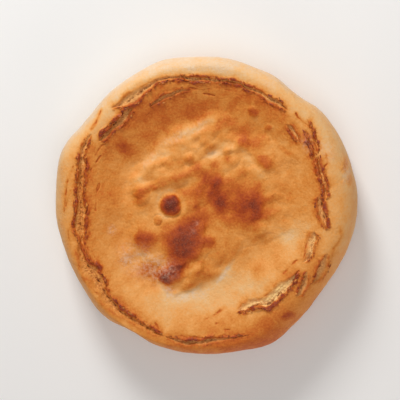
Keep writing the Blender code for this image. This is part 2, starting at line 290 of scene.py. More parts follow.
def turned_blank():
    """The blank as a plain mesh, turned about Z from its half section."""
    points = blank_profile()
    section = bpy.data.meshes.new("section")
    links = [(i, i + 1) for i in range(len(points) - 1)]
    section.from_pydata([(out * MM, 0.0, height * MM) for out, height in points], links, [])
    lathe = bpy.data.objects.new("lathe", section)
    bpy.context.scene.collection.objects.link(lathe)
    turn = lathe.modifiers.new("turn", "SCREW")
    turn.angle = 2.0 * math.pi
    turn.steps = turn.render_steps = TURN_STEPS
    turn.use_merge_vertices = True
    turn.merge_threshold = 0.00001
    evaluated = lathe.evaluated_get(bpy.context.evaluated_depsgraph_get())
    blank = bpy.data.meshes.new_from_object(evaluated)
    bpy.data.objects.remove(lathe)
    return blank


def points_of(mesh):
    """The mesh's points, in millimetres."""
    points = np.empty(len(mesh.vertices) * 3, np.float32)
    mesh.vertices.foreach_get("co", points)
    return points.reshape(-1, 3).astype(float) / MM


def set_points(mesh, points):
    """Moves the mesh's points to new places, given in millimetres."""
    mesh.vertices.foreach_set("co", (points * MM).astype(np.float32).ravel())
    mesh.update()


def normals_of(mesh):
    """The way that the skin faces at each point of the mesh."""
    normals = np.empty(len(mesh.vertices) * 3, np.float32)
    mesh.vertex_normals.foreach_get("vector", normals)
    return normals.reshape(-1, 3).astype(float)


dough = turned_blank()
print("turned blank:", len(dough.polygons), "faces")

# %% [markdown]
# ## Pulling it out of round
# The outline bulges and dips, the ring where rim meets face does so on its own, and the base follows
# the outline by half, because dough sticks where it lies. Each point also gets its place on the face,
# as a direction and a distance and as x and y. `top` is 1 on the face and fades down the wall.

# %% Uneven outline
def about_face(points):
    """Each point's direction (degrees) and distance (mm) from the face's centre, seen from above."""
    x, y = points[:, 0] - FACE_CENTRE[0], points[:, 1] - FACE_CENTRE[1]
    return np.degrees(np.arctan2(y, x)) % 360.0, np.hypot(x, y) / FACE_SCALE


def pull_outline(points):
    """Moves the round blank's points out or in to the uneven outline and the uneven ring."""
    degrees = np.degrees(np.arctan2(points[:, 1], points[:, 0])) % 360.0
    radius = np.hypot(points[:, 0], points[:, 1])
    outline = pulled(RADIUS, OUTLINE_PULLS, degrees)
    ring = FACE_SCALE * (pulled(RING_RADIUS, RING_PULLS, degrees) + CREST_OUTSIDE_RING)
    round_ring = RING_RADIUS + CREST_OUTSIDE_RING
    outside = ring + (radius - round_ring) * (outline - ring) / (RADIUS - round_ring)
    upper = np.where(radius < round_ring, radius * ring / round_ring, outside)
    reach = PULL_AT_BASE + (1.0 - PULL_AT_BASE) * smooth_step(points[:, 2] / WIDEST_HEIGHT)
    lower = radius * (1.0 + (outline / RADIUS - 1.0) * reach)
    new_radius = np.where(points[:, 2] >= WIDEST_HEIGHT, upper, lower)
    scale = np.where(radius > 1e-6, new_radius / np.maximum(radius, 1e-6), 1.0)
    shift = smooth_step((points[:, 2] - WIDEST_HEIGHT) / (CREST_HEIGHT - WIDEST_HEIGHT))
    made = points.copy()
    made[:, 0] = points[:, 0] * scale + FACE_CENTRE[0] * shift
    made[:, 1] = points[:, 1] * scale + FACE_CENTRE[1] * shift
    return made


def hollow_base(points):
    """Lifts the middle of the base a little, so that the bread rests on a flat ring."""
    radius = np.hypot(points[:, 0], points[:, 1])
    lift = BASE_HOLLOW * smooth_step(1.0 - radius / FOOT_RING_INNER)
    made = points.copy()
    made[:, 2] += np.where(points[:, 2] < 1e-3, lift, 0.0)
    return made


blank = points_of(dough)
round_points = pull_outline(blank)
top = smooth_step((blank[:, 2] - WIDEST_HEIGHT) / (CREST_HEIGHT - WIDEST_HEIGHT))
face_degrees, face_radius = about_face(round_points)
face_x = (round_points[:, 0] - FACE_CENTRE[0]) / FACE_SCALE
face_y = (round_points[:, 1] - FACE_CENTRE[1]) / FACE_SCALE
print("outline, mm:", np.ptp(round_points, axis=0).round(1))

# %% [markdown]
# ## The face
# The middle is pressed in, and a low mound stays in it. Steam then raised blisters and lumps, and the
# skin settled in folds. A blister is a round cap with a crisp foot, a lump a soft swelling. A fold
# follows a line and is steep on one side and soft on the other, as one flap of skin lies over the next.

# %% Blisters and lumps
# Each blister: x, y, radius, height (mm), and how brown it is
BLISTERS = [(-19.2, 1.0, 6.0, 2.4, 0.34), (-26, -7.3, 2.5, 1.0, 0.08)]
# Each lump: x, y, radius, height (mm)
LUMPS = [
    (-11.5, -17.5, 11, 1.9), (-32.5, -17.5, 8, 1.5), (5.5, 10, 8, 0.9), (22, 1, 9, 1.2),
    (-4.5, 21.5, 4.5, 1.0), (4, 30.5, 3.0, -1.1), (13, 34, 5.5, 0.9), (0, 34.5, 3.5, 0.8),
    (22, 37, 7, 1.0), (34, 24, 6.5, 1.2), (26, 24, 4.5, -0.8), (45, 28.5, 4, 0.6), (9, 46, 7, 1.1),
    (-13, 31, 6, 0.9), (-31, 20, 5, 0.8), (-38, 12.5, 4.5, 0.6), (-35, 5, 5, 0.7), (-22, 14, 5, 0.8),
    (13, 17, 6, 0.5), (-18, -38, 6, 1.3), (-38, -30, 6, -0.8), (-3, -36, 7, 1.1), (-44, -27, 4, 0.7),
    (42, 2, 9, 0.9), (48, -17, 9, -0.9), (30, -36, 6, 0.6), (37, 12, 5, 0.7), (31, 33, 5, 0.7),
    (-8, 5, 6, 0.6), (33, -14, 7, 0.8), (19, -20, 7, 0.7), (8, -25, 6, 0.6), (-42, -2, 6, 0.5),
    (20, 47, 6, 0.6), (-50, 2, 7, 0.4), (-30, -48, 9, 0.5), (2.0, -18.5, 3.2, 0.7), (25.5, 51.3, 2.6, 0.8),
    (-5.5, 31, 2.2, 0.7), (11.5, 27, 3, 1.0), (33.5, 43, 2, 0.5), (17, 24, 4, 0.6), (-13, 25, 3.2, 0.7),
    (-8, 26.5, 2.2, 0.6), (-20, 23.5, 3.2, 0.7), (5, 23.5, 3, 0.7), (2, 33, 3.4, 0.6), (-29, 24, 4.5, 1.0),
    (20, 34, 4.5, 0.8), (-15, 37, 5, 0.9), (-4, 41, 5, 0.9), (-36, 7, 4.5, 0.6), (-25, 13.5, 4.5, 0.8),
    (-16, 16, 4.5, 0.8), (-8, -3, 5, 0.8), (33, 24, 4.5, 0.7), (6, 15, 4, 0.6), (-5, -37, 4, 0.9),
    (-21, -39, 4, 0.9), (-11, -42, 4, 0.8), (3, -36, 4, 0.7), (40, -8, 4, 0.6), (30, -12, 4, 0.6),
    (36, 6, 4, 0.5), (44, 12, 4, 0.4),
]
# Each fold: how far it reaches to the left and right (mm), its height (mm), how much it browns on the left
# and right, partly real browning and partly painted light and shade on its flanks, and the line that it
# follows
FOLDS = [
    (2.2, 4.5, 0.75, -0.06, -0.2, [
        (-30, 29.5), (-23, 35), (-18, 39.5), (-11, 41.5), (-4, 43.5), (0, 47), (6, 50),
    ]),
    (2.2, 4.5, 0.75, -0.04, -0.13, [(-40, 11), (-37, 18), (-32.5, 24), (-27, 28), (-20, 29.5), (-12, 29)]),
    (7.0, 1.1, 0.9, 0.05, -0.1, [
        (-24.5, -39), (-21.8, -46), (-17, -48), (-8.3, -43.8), (0.8, -38.4), (6.2, -36.6), (9.6, -33.2),
    ]),
    (6.0, 1.2, 0.7, 0.03, -0.07, [(7, -36), (12.2, -30.5), (14.8, -27.7), (18.5, -21.8), (21, -15)]),
    (6.0, 0.9, 0.8, 0.0, -0.12, [(-41.5, -10), (-40.6, -14), (-37.9, -21.2), (-31.5, -27.7), (-23, -31.5)]),
    (5.0, 0.8, 0.8, 0.02, 0.16, [(-23, -35), (-18.5, -33), (-13.2, -32), (-8, -29.5)]),
    (6.0, 0.9, 0.7, 0.0, 0.0, [(-9, -30), (-3, -25), (-0.8, -18), (-0.6, -11), (-3, -6)]),
    (4.0, 1.0, 0.7, 0.07, -0.04, [(-39, 2.5), (-34, 4.5), (-27, 9), (-19, 12.5), (-8, 14)]),
    (1.2, 4.6, 0.55, -0.03, 0.02, [(-42, 5), (-34, 11), (-26, 16), (-16, 19), (-5, 17.5)]),
    (1.0, 5.0, 0.8, -0.08, 0.0, [(9, 31), (18, 30), (25, 23), (31, 16)]),
    (4.0, 0.9, 0.8, 0.04, -0.06, [(8, 38), (16, 36), (23, 30.5), (28, 27), (34, 17.5)]),
    (0.9, 3.0, 0.9, -0.03, 0.02, [(-3, 28), (3, 27), (8.5, 29.5), (13, 32), (19, 30)]),
    (4.0, 1.0, 0.5, 0.0, 0.05, [(0, 40), (8, 40.5), (16, 43), (26, 40)]),
    (5.0, 2.0, 0.5, 0.03, -0.03, [(27, -11), (33, -13), (41, -13.5), (50, -9)]),
    (4.0, 2.0, 0.4, 0.0, -0.02, [(25, -22), (33, -24), (42, -22)]),
    (1.0, 4.0, 0.5, -0.03, 0.0, [(30, 5), (37, 8), (45, 5)]),
    (1.0, 4.0, 0.5, 0.0, 0.0, [(10.5, 18), (11, 10), (11.5, 2), (9, -4)]),
    (5.0, 1.0, 0.6, 0.0, 0.0, [(14, -8), (22, -8.5), (28.5, -5), (30.5, 2), (30, 10)]),
    (1.0, 3.0, 0.4, 0.0, 0.03, [(-24, 36), (-17, 33), (-8, 36)]),
    (3.0, 1.0, 0.4, 0.0, 0.0, [(-48, -8), (-44, 0), (-46, 10)]),
]
print("blisters, lumps and folds:", len(BLISTERS), len(LUMPS), len(FOLDS))

# %% [markdown]
# ## Beside a line
# A fold needs three things at each point: how far the fold's line is, on which side of it the point
# lies, and how near the line's ends it is, because a fold fades out towards them.

# %% Beside a line
def beside_line(x, y, line):
    """Each point's distance to a line (mm), its side of it (1 is left) and how far it is from the ends."""
    nearest, side, walked = np.full(len(x), 1e6), np.zeros(len(x)), np.zeros(len(x))
    length = 0.0
    for (from_x, from_y), (to_x, to_y) in zip(line, line[1:]):
        run, rise = to_x - from_x, to_y - from_y
        reach = math.hypot(run, rise)
        along = np.clip(((x - from_x) * run + (y - from_y) * rise) / reach**2, 0.0, 1.0)
        away = np.hypot(x - from_x - along * run, y - from_y - along * rise)
        closer = away < nearest
        nearest[closer] = away[closer]
        side[closer] = np.sign(run * (y - from_y) - rise * (x - from_x))[closer]
        walked[closer] = (length + along * reach)[closer]
        length += reach
    return nearest, side, np.minimum(walked, length - walked)


test_x, test_y = np.array([0.0, 5.0]), np.array([3.0, -2.0])
print("two points beside a line along X:", beside_line(test_x, test_y, [(-10, 0), (10, 0)]))

# %% [markdown]
# ## Dish and mound
# Grain warps the places on the face first, so that no edge stays round and no line straight. Then the
# dish is pressed in: its wall is an even S from the ring to the trough. The mound rises from the
# trough with a steep foot and a nearly flat top, and its flank is wider on the sides where it runs
# out softly.

# %% Dish and mound
WARP = 0.9
MOUND_SHOULDER = 1.6


def warped(places, seed):
    """Places on the face, moved by a coarse and a fine grain."""
    return places + WARP * rough(round_points, 9.0, seed, 2) + WARP * rough(round_points, 3.6, seed + 1, 2)


def dish_and_mound(x, y):
    """How far each point of the face rises (mm), for the dish, the mound and the uneven rim."""
    ring = pulled(RING_RADIUS, RING_PULLS, face_degrees)
    mound = pulled(MOUND_RADIUS, MOUND_PULLS, face_degrees)
    flank = pulled(MOUND_FLANK, FLANK_PULLS, face_degrees)
    wall = smooth_step((face_radius / ring - DISH_WALL_FOOT) / (DISH_WALL_TOP - DISH_WALL_FOOT))
    rise = (TROUGH_HEIGHT - CREST_HEIGHT) * (1.0 - wall)
    up_flank = np.clip((mound - np.hypot(x, y)) / flank, 0.0, 1.0)
    rise += MOUND_HEIGHT * (1.0 - (1.0 - up_flank) ** MOUND_SHOULDER)
    rise += pulled(0.0, CREST_PULLS, face_degrees) * smooth_step(face_radius / RING_RADIUS)
    return rise


warped_x, warped_y = warped(face_x, 41), warped(face_y, 45)
relief = dish_and_mound(warped_x, warped_y)
print("face lies below the rim by up to, mm:", -(relief * top).min().round(1))

# %% [markdown]
# ## Swellings
# A broad lump is a bell, and a small one has a flatter top and steeper sides. A fold is a bell that is narrow
# on one side of its line and wide on the other, and it browns or pales the skin beside it, partly as real
# browning and partly as painted light and shade on its flanks.
# A blister is a cap with a crisp foot in a shallow moat, dark on top, with a pale ring painted round its foot
# as a highlight.

# %% Swellings
BROAD_LUMP = 6.0
LUMP_RISE = 1.3
FOLD_FADE = 5.0
FOLD_CROSSING = 0.7
FOLD_BROWNS = 4.0
BLISTER_SQUASH = 0.93


def add_lumps(swelling):
    """Adds the lumps to the swelling (mm)."""
    for lump_x, lump_y, radius, height in LUMPS:
        away = np.hypot(warped_x - lump_x, warped_y - lump_y) / radius
        swelling += LUMP_RISE * height * np.exp(-(away ** (2.0 if radius > BROAD_LUMP else 3.0)))


def add_folds(swelling, browning):
    """Adds the folds to the swelling (mm) and to the browning, partly real browning and partly painted light
    and shade on their flanks.
    """
    for left, right, height, left_bake_and_shading, right_bake_and_shading, line in FOLDS:
        away, side, from_end = beside_line(warped_x, warped_y, line)
        fade = smooth_step(from_end / FOLD_FADE) * (0.75 + 0.5 * grain(round_points, 7.0, 49))
        swelling += height * fade * np.exp(-((away / np.where(side > 0.0, left, right)) ** 2))
        on_left = 0.5 + 0.5 * np.tanh(side * away / FOLD_CROSSING)
        change = left_bake_and_shading * on_left + right_bake_and_shading * (1.0 - on_left)
        browning += fade * change * np.exp(-((away / FOLD_BROWNS) ** 2))


def add_blisters(swelling, browning):
    """Adds the blisters to the swelling (mm) and to the browning, with a pale ring painted as a highlight
    round each foot.
    """
    for blister_x, blister_y, radius, height, brown in BLISTERS:
        away = np.hypot(face_x - blister_x, BLISTER_SQUASH * (face_y - blister_y)) / radius
        away *= 1.0 + 0.12 * rough(round_points, 0.8 * radius, 51, 2)
        cap = height * np.maximum(1.0 - away**2, 0.0) ** 0.65
        moat = 0.14 * height * np.exp(-(((away - 1.12) / 0.16) ** 2))
        swelling += cap - moat
        browning += brown * (0.6 * smooth_step((1.06 - away) / 0.25) + 0.4 * smooth_step((0.85 - away) / 0.5))
        # A paler ring round the foot, painted as a highlight.
        browning -= 0.28 * brown * np.exp(-(((away - 1.25) / 0.18) ** 2))


swelling, swelling_bake_and_shading = np.zeros(len(relief)), np.zeros(len(relief))
add_lumps(swelling)
add_folds(swelling, swelling_bake_and_shading)
add_blisters(swelling, swelling_bake_and_shading)
print("highest swelling and deepest hollow, mm:", swelling.max().round(1), swelling.min().round(1))

# %% [markdown]
# ## Soft ovals
# The skin isn't the same all over: here it lies in puffs, there the rim is scuffed, and later there are
# browned, pale and floured places, some of them painted light and shade. All of these are soft ovals with
# wandering edges, laid by `patches`.

# %% Soft ovals
# Where the skin lies in small puffs: x, y, half length, half width (mm), turn (degrees), strength
PUFFED = [
    (-22, 24, 34, 14, 40, 0.9), (8, 32, 22, 11, -15, 0.9), (-14, -38, 24, 9, 22, 0.8),
    (-8, 6, 24, 12, 40, 0.45), (40, -2, 12, 14, 0, 0.2),
]
# Where the rim is scuffed, in the same form
SCUFFED = [(75.5, 21, 3.5, 9, -12, 1.0), (70, -14, 2, 6, -15, 0.5)]
SMALL_OVAL = 8.0


def patches(ovals, seed):
    """The sum of soft ovals at each point. The edge of a small one wanders less."""
    wander_x = 1.2 * rough(round_points, 7.0, seed, 3)
    wander_y = 1.2 * rough(round_points, 7.0, seed + 5, 3)
    total = np.zeros(len(face_x))
    for x, y, half_length, half_width, turn, strength in ovals:
        give = min(half_width, SMALL_OVAL) / SMALL_OVAL
        dx, dy = face_x - x + give * wander_x, face_y - y + give * wander_y
        cosine, sine = math.cos(math.radians(turn)), math.sin(math.radians(turn))
        along, across = dx * cosine + dy * sine, dy * cosine - dx * sine
        away = (along / half_length) ** 2 + (across / half_width) ** 2
        total += strength * np.exp(-(away**2.0))
    return total


puffed = 0.28 + np.minimum(patches(PUFFED, 18), 1.0)
scuffed = patches(SCUFFED, 19) * top
print("most puffed and most scuffed:", puffed.max().round(2), scuffed.max().round(2))

# %% [markdown]
# ## Skin relief
# On the lumps lies a finer relief. The mound has small puffs with sharp creases between them, which
# come from the folded value of a grain. They run aslant, as the dough was stretched, and fade where a
# lump is blown up smooth. The rest of the face has dimples a few millimetres wide, and the wall has
# long soft waves, with a rougher skin where it is scuffed.

# %% Skin relief
# A lump from this height on (mm) is stretched smooth
DOMED_FROM = 1.15
SLANT = math.radians(38.0)
STRETCH = 1.7

shaped = hollow_base(round_points)
shaped[:, 2] += (relief + swelling) * top
inside_face = smooth_step((1.04 - face_radius / pulled(RING_RADIUS, RING_PULLS, face_degrees)) / 0.1) * top
on_mound = smooth_step((pulled(MOUND_RADIUS, MOUND_PULLS, face_degrees) + 6.0 - face_radius) / 16.0)
along = (face_x * np.cos(SLANT) + face_y * np.sin(SLANT)) / STRETCH
across = face_y * np.cos(SLANT) - face_x * np.sin(SLANT)
slanted = np.stack([along, across, shaped[:, 2]], axis=1)
slanted[:, :2] += 1.2 * np.stack([rough(round_points, 8.0, 8, 2), rough(round_points, 8.0, 9, 2)], axis=1)
crisp = 0.05 + 0.18 * smooth_step(0.5 + 0.9 * grain(round_points, 14.0, 10))
puffs = np.hypot(grain(slanted, 7.0, 12), crisp) + 0.5 * np.hypot(grain(slanted, 3.6, 13), crisp) - 0.6
domes = [(x, y, radius) for x, y, radius, height in LUMPS if height > DOMED_FROM]
domed = sum(np.exp(-((np.hypot(face_x - x, face_y - y) / radius) ** 4)) for x, y, radius in domes)
puffs *= puffed * (1.0 - 0.8 * np.minimum(domed, 1.0))
dimples = (0.25 + 0.40 * on_mound) * rough(slanted, 7.5, 11, 3) + (0.4 + 1.9 * on_mound) * puffs
dimples += 0.16 * rough(round_points, 2.2, 15, 2)
waves = 0.5 * rough(shaped, 26.0, 21, 2) + 0.25 * rough(shaped, 5.5, 25, 3)
waves += (0.04 + 0.35 * scuffed) * rough(shaped, 1.7, 28, 2)
off_base = smooth_step(shaped[:, 2] / 6.0)
set_points(dough, shaped)
skin = (dimples * inside_face + waves * (1.0 - inside_face)) * off_base
shaped += normals_of(dough) * skin[:, None]
set_points(dough, shaped)
print("skin relief, mm:", skin.min().round(2), "to", skin.max().round(2))

# %% [markdown]
# ## The tears
# Each tear has an inner edge, on the thin face's side, and an outer one, on the rim's. They are given
# every few degrees. Grain makes them ragged. Between the edges the crumb lies open, at a rough slope,
# deepest where the last layer parted. At the edges the crust stands up in a thin curled lip.

# %% Where the crust is torn
# Each tear: depth (mm), where across it lies deepest (-1 inner edge, 1 outer edge), how strong its inner
# and outer lips are, how pale its crumb is, and its edges as degrees, inner radius and outer radius (mm)
TEARS = [
    (1.15, -0.1, 0.8, 0.15, 0.36, [
        (94, 69.2, 69.6), (97, 68.6, 70.2), (100, 70, 72.2), (105, 70.8, 73), (110, 71.6, 74),
        (115, 70, 73.2), (120, 67.6, 73.8), (125, 67.8, 73.8), (130, 70, 73.2), (134, 73.2, 73.6),
    ]),
    (1.2, 0.1, 0.8, 0.6, 0.25, [
        (49, 68.4, 68.6), (55, 66.7, 69.6), (60, 65.8, 69.0), (65, 66.8, 69.0), (70, 66.6, 69.0),
        (75, 67.8, 69.8), (80, 67.6, 69.6), (85, 67.8, 69.8), (90, 67.8, 70.4), (95, 67.4, 70.8),
        (99, 69.6, 71.4), (103, 71.4, 72),
    ]),
    (1.6, 0.4, 0.6, 1.1, 0.25, [
        (125, 65.8, 66.6), (127, 64.2, 67.4), (130, 63, 67.4), (135, 62.8, 67.2), (140, 64, 67.8),
        (145, 64.8, 68.4), (148, 66.8, 67),
    ]),
    (2.0, 0.0, 0.5, 0.4, 0.3, [
        (146, 72.6, 72.8), (150, 71.8, 74), (154, 70.6, 74.6), (158, 69.6, 74.2), (161, 69, 72),
    ]),
    (1.9, -0.1, 0.85, 1.0, 0.1, [
        (156, 71.8, 74.6), (160, 68.2, 72.4), (164, 67.4, 71.2), (168, 66.8, 70.4), (173, 66.2, 69.8),
        (177, 64.8, 69.4), (181, 64.2, 69.6), (184, 64.8, 70.6), (187, 65.2, 71.6), (191, 65.4, 71.2),
        (195, 67.2, 70.2), (199, 69, 69.4),
    ]),
    (2.0, -0.3, 1.0, 0.1, 0.12, [
        (195, 71.6, 72), (198, 70.6, 73.8), (203, 69.6, 75.4), (209, 68.2, 76.2), (214, 67, 76.2),
        (219, 68.8, 76), (223, 71.4, 76.6), (229, 71.6, 76.6), (236, 70.4, 75.6), (242, 71.8, 75),
        (248, 72.2, 74.6), (253, 73.2, 73.8),
    ]),
    (1.7, -0.3, 0.9, 0.2, 0.35, [
        (252, 73.2, 73.5), (257, 73, 75.4), (262, 73, 75.8), (267, 72, 75), (271, 70.4, 74.4),
        (275, 70.6, 73.4), (279, 71, 72.6), (285, 71.4, 72.8), (291, 72.6, 72.9),
    ]),
    (2.3, 0.6, 0.1, 1.8, 1.0, [
        (286, 57.8, 58.6), (291, 55.8, 59.8), (295.5, 54.7, 59.8), (299, 55.6, 60.6), (302, 56.4, 63.2),
        (304.5, 55.8, 64.2), (308, 55.2, 63.8), (311, 55.4, 62.6), (315, 56.2, 62.2), (319, 58.0, 61.8),
        (323, 59.6, 61.2), (328, 60.4, 60.7),
    ]),
    (2.0, 0.2, 0.2, 0.45, 0.7, [
        (331, 60.2, 60.8), (335, 58.8, 62.2), (340, 57.6, 62.6), (345, 57, 62.6), (348, 57.6, 61.4),
        (350, 59, 59.6),
    ]),
    (2.0, 0.2, 0.5, 1.3, 0.35, [
        (349.5, 65, 65.6), (352, 63.6, 66.2), (357, 60.2, 64.8), (361, 59.4, 63.4), (365, 59.8, 62.4),
        (368, 61.0, 61.6),
    ]),
    (2.0, 0.1, 1.3, 1.3, 0.25, [
        (364, 64.2, 64.8), (367, 63.4, 65.9), (373, 63.4, 66.2), (378, 63.6, 66.0), (383, 64.4, 66.4),
        (387, 65.2, 67.2),
    ]),
    (1.4, 0.0, 1.8, 0.6, 0.2, [
        (384, 62.8, 63.4), (388, 63.6, 65), (392, 65.0, 66.4), (396, 66.4, 67.8), (400, 68.6, 69.4),
    ]),
    (1.4, 0.0, 0.6, 1.8, 0.2, [
        (386, 66.2, 66.8), (390, 67.0, 68.4), (394, 68.6, 70), (398, 70.2, 71.6), (402, 72.0, 72.6),
    ]),
    (1.8, 0.0, 0.7, 0.3, 0.4, [
        (33.5, 61, 61.3), (37, 60.8, 62.4), (40, 61, 63.6), (44, 61.2, 64), (47, 61.8, 62.4),
    ]),
    (1.6, 0.3, 0.4, 0.5, 0.35, [
        (95, 63, 63.3), (100, 62.8, 64.3), (105, 62.2, 64.6), (110, 61.4, 64.2), (115, 60.8, 63.2),
        (119, 61.8, 62.1),
    ]),
    (2.4, -0.5, 0.6, 0.3, 0.4, [
        (324, 70.6, 71.0), (328, 69.2, 73.4), (333, 68.4, 73.4), (337, 68, 72.0), (341, 69.4, 69.8),
    ]),
    (2.4, -0.4, 0.6, 0.3, 0.4, [
        (315.5, 68.2, 68.6), (319, 66.4, 70.2), (323, 64.8, 69.4), (327, 63.6, 67.4), (330, 64.2, 64.6),
    ]),
]
print("tears:", len(TEARS))

# %% [markdown]
# ## Grain of the tears
# The edges of a tear wander, its width pinches and swells, its lips stand only in places, and its
# floor is rubble with pits. Each of these is a grain of its own. `around` is a space in which the
# crust is drawn in along the ring, so that a grain read from it runs lengthways in the tears.

# %% Grain of the tears
RAGGED = 0.9
SLIDE = 1.4
DRAWN_IN_TO = 14.0


def tear_wander(points):
    """How far grain moves the tears' edges at each point: outwards and along (mm)."""
    outwards = RAGGED * rough(points, 6.0, 91, 3) + 0.35 * rough(points, 1.8, 97, 2)
    return outwards, SLIDE * rough(points, 6.0, 94, 3)


turn = np.radians(face_degrees)
around = np.stack([DRAWN_IN_TO * np.cos(turn), DRAWN_IN_TO * np.sin(turn), face_radius / 1.1], axis=1)
pinch = 0.35 + 1.3 * smooth_step(0.5 + 0.9 * rough(round_points, 5.5, 61, 3))
rubble = 0.5 * rough(round_points, 1.9, 71, 3) + 0.25 * grain(round_points, 0.8, 75)
rubble += 0.4 * rough(around, 1.0, 77, 2)
broken = smooth_step(0.55 + 1.2 * rough(round_points, 2.6, 83, 3))
pits = smooth_step((rough(round_points, 1.5, 87, 2) + 0.05) / 0.3)
print("share of the crust where lips stand:", broken.mean().round(2))

# %% [markdown]
# ## The section of a tear
# Across a tear the crust first swells up into a lip, browned and glossy where it stood nearest the
# heat. Then it drops over a short ragged wall to crumb that is rough at the scale of its bubbles.
# Dough parts in layers, so the drop goes down in steps, and at the deepest place it has pits.

# %% Section of a tear
TEAR_ENDS = 2.5
TEAR_WALL = 0.45
TEAR_DEPTH_FOR_WIDTH = 0.5
LAYER = 0.6
PIT = 0.5
LIP_HEIGHT = 0.8
LIP_WIDTH = 1.05
HALO_INSIDE = 3.4
HALO_OUTSIDE = 1.9


def tear_section(one_tear, near, turned, radius):
    """One tear's fields at the points near it, from their directions and their distances to the centre."""
    deepest, deepest_at, inner_lip, outer_lip, tone, edges = one_tear
    where, inner_edge, outer_edge = np.array(edges, float).T
    inner, outer = np.interp(turned, where, inner_edge), np.interp(turned, where, outer_edge)
    ends = smooth_step((turned - where[0]) / TEAR_ENDS) * smooth_step((where[-1] - turned) / TEAR_ENDS)
    centre = 0.5 * (inner + outer)
    half = 0.5 * np.maximum(outer - inner, 0.05) * (0.5 + 0.5 * pinch[near])
    opening = 2.0 * half
    opened = smooth_step(opening / 2.0) * ends
    into = half - np.abs(radius - centre)
    off = np.maximum(-into, 0.0)
    inside = radius < centre
    edge_lip = np.where(inside, inner_lip, outer_lip)
    soft = 1.0 - np.minimum(edge_lip, 1.0)
    strength = edge_lip * opened * broken[near]

    across = np.clip((radius - centre) / half, -1.0, 1.0)
    below, above = (deepest_at - across) / (1.0 + deepest_at), (across - deepest_at) / (1.0 - deepest_at)
    from_deepest = np.where(across < deepest_at, below, above)
    full = np.minimum(deepest, 0.3 + TEAR_DEPTH_FOR_WIDTH * opening)
    slope = full * (1.0 - 0.7 * from_deepest) + 0.8 * np.minimum(full, 1.4) * rubble[near]
    sunk = np.maximum(slope, 0.1 * full)
    layers = np.floor(sunk / LAYER) + smooth_step((sunk / LAYER % 1.0 - 0.3) / 0.3)
    bottom = np.exp(-(((across - deepest_at) / 0.28) ** 2)) * pits[near]
    sunk = 0.35 * sunk + 0.65 * LAYER * layers + PIT * bottom
    sunk *= smooth_step(into / (TEAR_WALL + 0.35 * opening * soft)) * (into > 0.0)

    width = LIP_WIDTH * (0.4 + 0.9 * strength)
    height = LIP_HEIGHT * (0.2 * opened * (1.0 - soft) + 0.8 * strength)
    lip = height * np.exp(-(((off - 0.4 * width) / (0.8 * width)) ** 2))
    browned = np.minimum(strength, 1.0) * (1.0 - smooth_step((off - 0.5 * width) / width))
    haloed = ends * (0.6 + 0.4 * np.minimum(edge_lip, 1.0))
    crumb = opened * smooth_step((into - 0.1) / (0.25 + 0.2 * opening + 0.3 * opening * soft))
    return {
        "depth": sunk * ends,
        "lip": lip * (1.0 - smooth_step(into / 0.35)),
        "curl": np.where(inside, 1.0, -1.0) * strength * np.exp(-((into / 0.6) ** 2)),
        "browned": browned * np.exp(-np.maximum(into, 0.0) / 0.3),
        "halo": haloed * np.exp(-((off / np.where(inside, HALO_INSIDE, HALO_OUTSIDE)) ** 1.3)),
        "crumb": crumb,
        "tone": tone * (crumb > 0.0),
        # The last field darkens the crumb along the deepest line: partly dark crumb, partly painted shadow.
        "pit_shadow": opened * bottom * smooth_step(into / 0.3),
    }


test_radius = np.full(1, 62.0)
test_depth = tear_section(TEARS[7], np.zeros(1, int), np.full(1, 305.0), test_radius)["depth"]
print("depth inside the widest tear, mm:", test_depth.round(2))

# %% [markdown]
# ## Opening the tears
# Each tear is worked out only at the points near it, and where two meet, the deeper and the browner
# one wins. The skin then moves along its own normals: up at the lips and down in the tears, while the
# lips curl towards the face's rim. Beside the tears the crust is crackled, with fine splits.

# %% Opening the tears
TEAR_REACH = 9.0
LIP_CURL = 0.35
SPLIT_DEPTH = 0.35


def torn():
    """The fields of all tears over the points: depth, lip and curl (mm), and shares from 0 to 1."""
    names = ("depth", "lip", "curl", "browned", "halo", "crumb", "tone", "pit_shadow")
    field = {name: np.zeros(len(face_radius)) for name in names}
    outwards, along = tear_wander(round_points)
    moved = face_radius + outwards
    slid = face_degrees + np.degrees(along / np.maximum(face_radius, 20.0))
    for one_tear in TEARS:
        where, inner_edge, outer_edge = np.array(one_tear[-1], float).T
        turned = where[0] + (slid - where[0]) % 360.0
        in_reach = (moved > inner_edge.min() - TEAR_REACH) & (moved < outer_edge.max() + TEAR_REACH)
        near = np.flatnonzero((turned <= where[-1]) & in_reach & (top > 0.0))
        section = tear_section(one_tear, near, turned[near], moved[near])
        field["curl"][near] += section.pop("curl")
        for name, values in section.items():
            field[name][near] = np.maximum(field[name][near], values)
    return {name: values * top for name, values in field.items()}


tear = torn()
out = normals_of(dough)
crackle = 0.22 * tear["halo"] * (1.0 - tear["crumb"]) * rough(round_points, 1.9, 81, 2)
split = smooth_step(1.0 - np.abs(grain(around, 1.0, 85)) / 0.13)
split *= smooth_step((rough(round_points, 6.0, 89, 2) + 0.05) / 0.25)
split *= tear["halo"] * (1.0 - tear["crumb"]) * (1.0 - tear["browned"])
crackle -= SPLIT_DEPTH * split
from_middle = np.stack([face_x, face_y, np.zeros(len(face_x))], axis=1)
from_middle /= np.maximum(face_radius, 1.0)[:, None]
rise = tear["lip"] + crackle - tear["depth"]
shaped += out * rise[:, None] + from_middle * (LIP_CURL * tear["curl"])[:, None]
print("deepest tear, mm:", tear["depth"].max().round(1), " highest lip:", tear["lip"].max().round(1))

# %% [markdown]
# ## Hairlines
# Beside the tears the crust has fine cracks that never opened. They are too narrow to be ragged, so
# each is a shallow groove along a line. `glow` is the slightly raised and browned strip beside it.

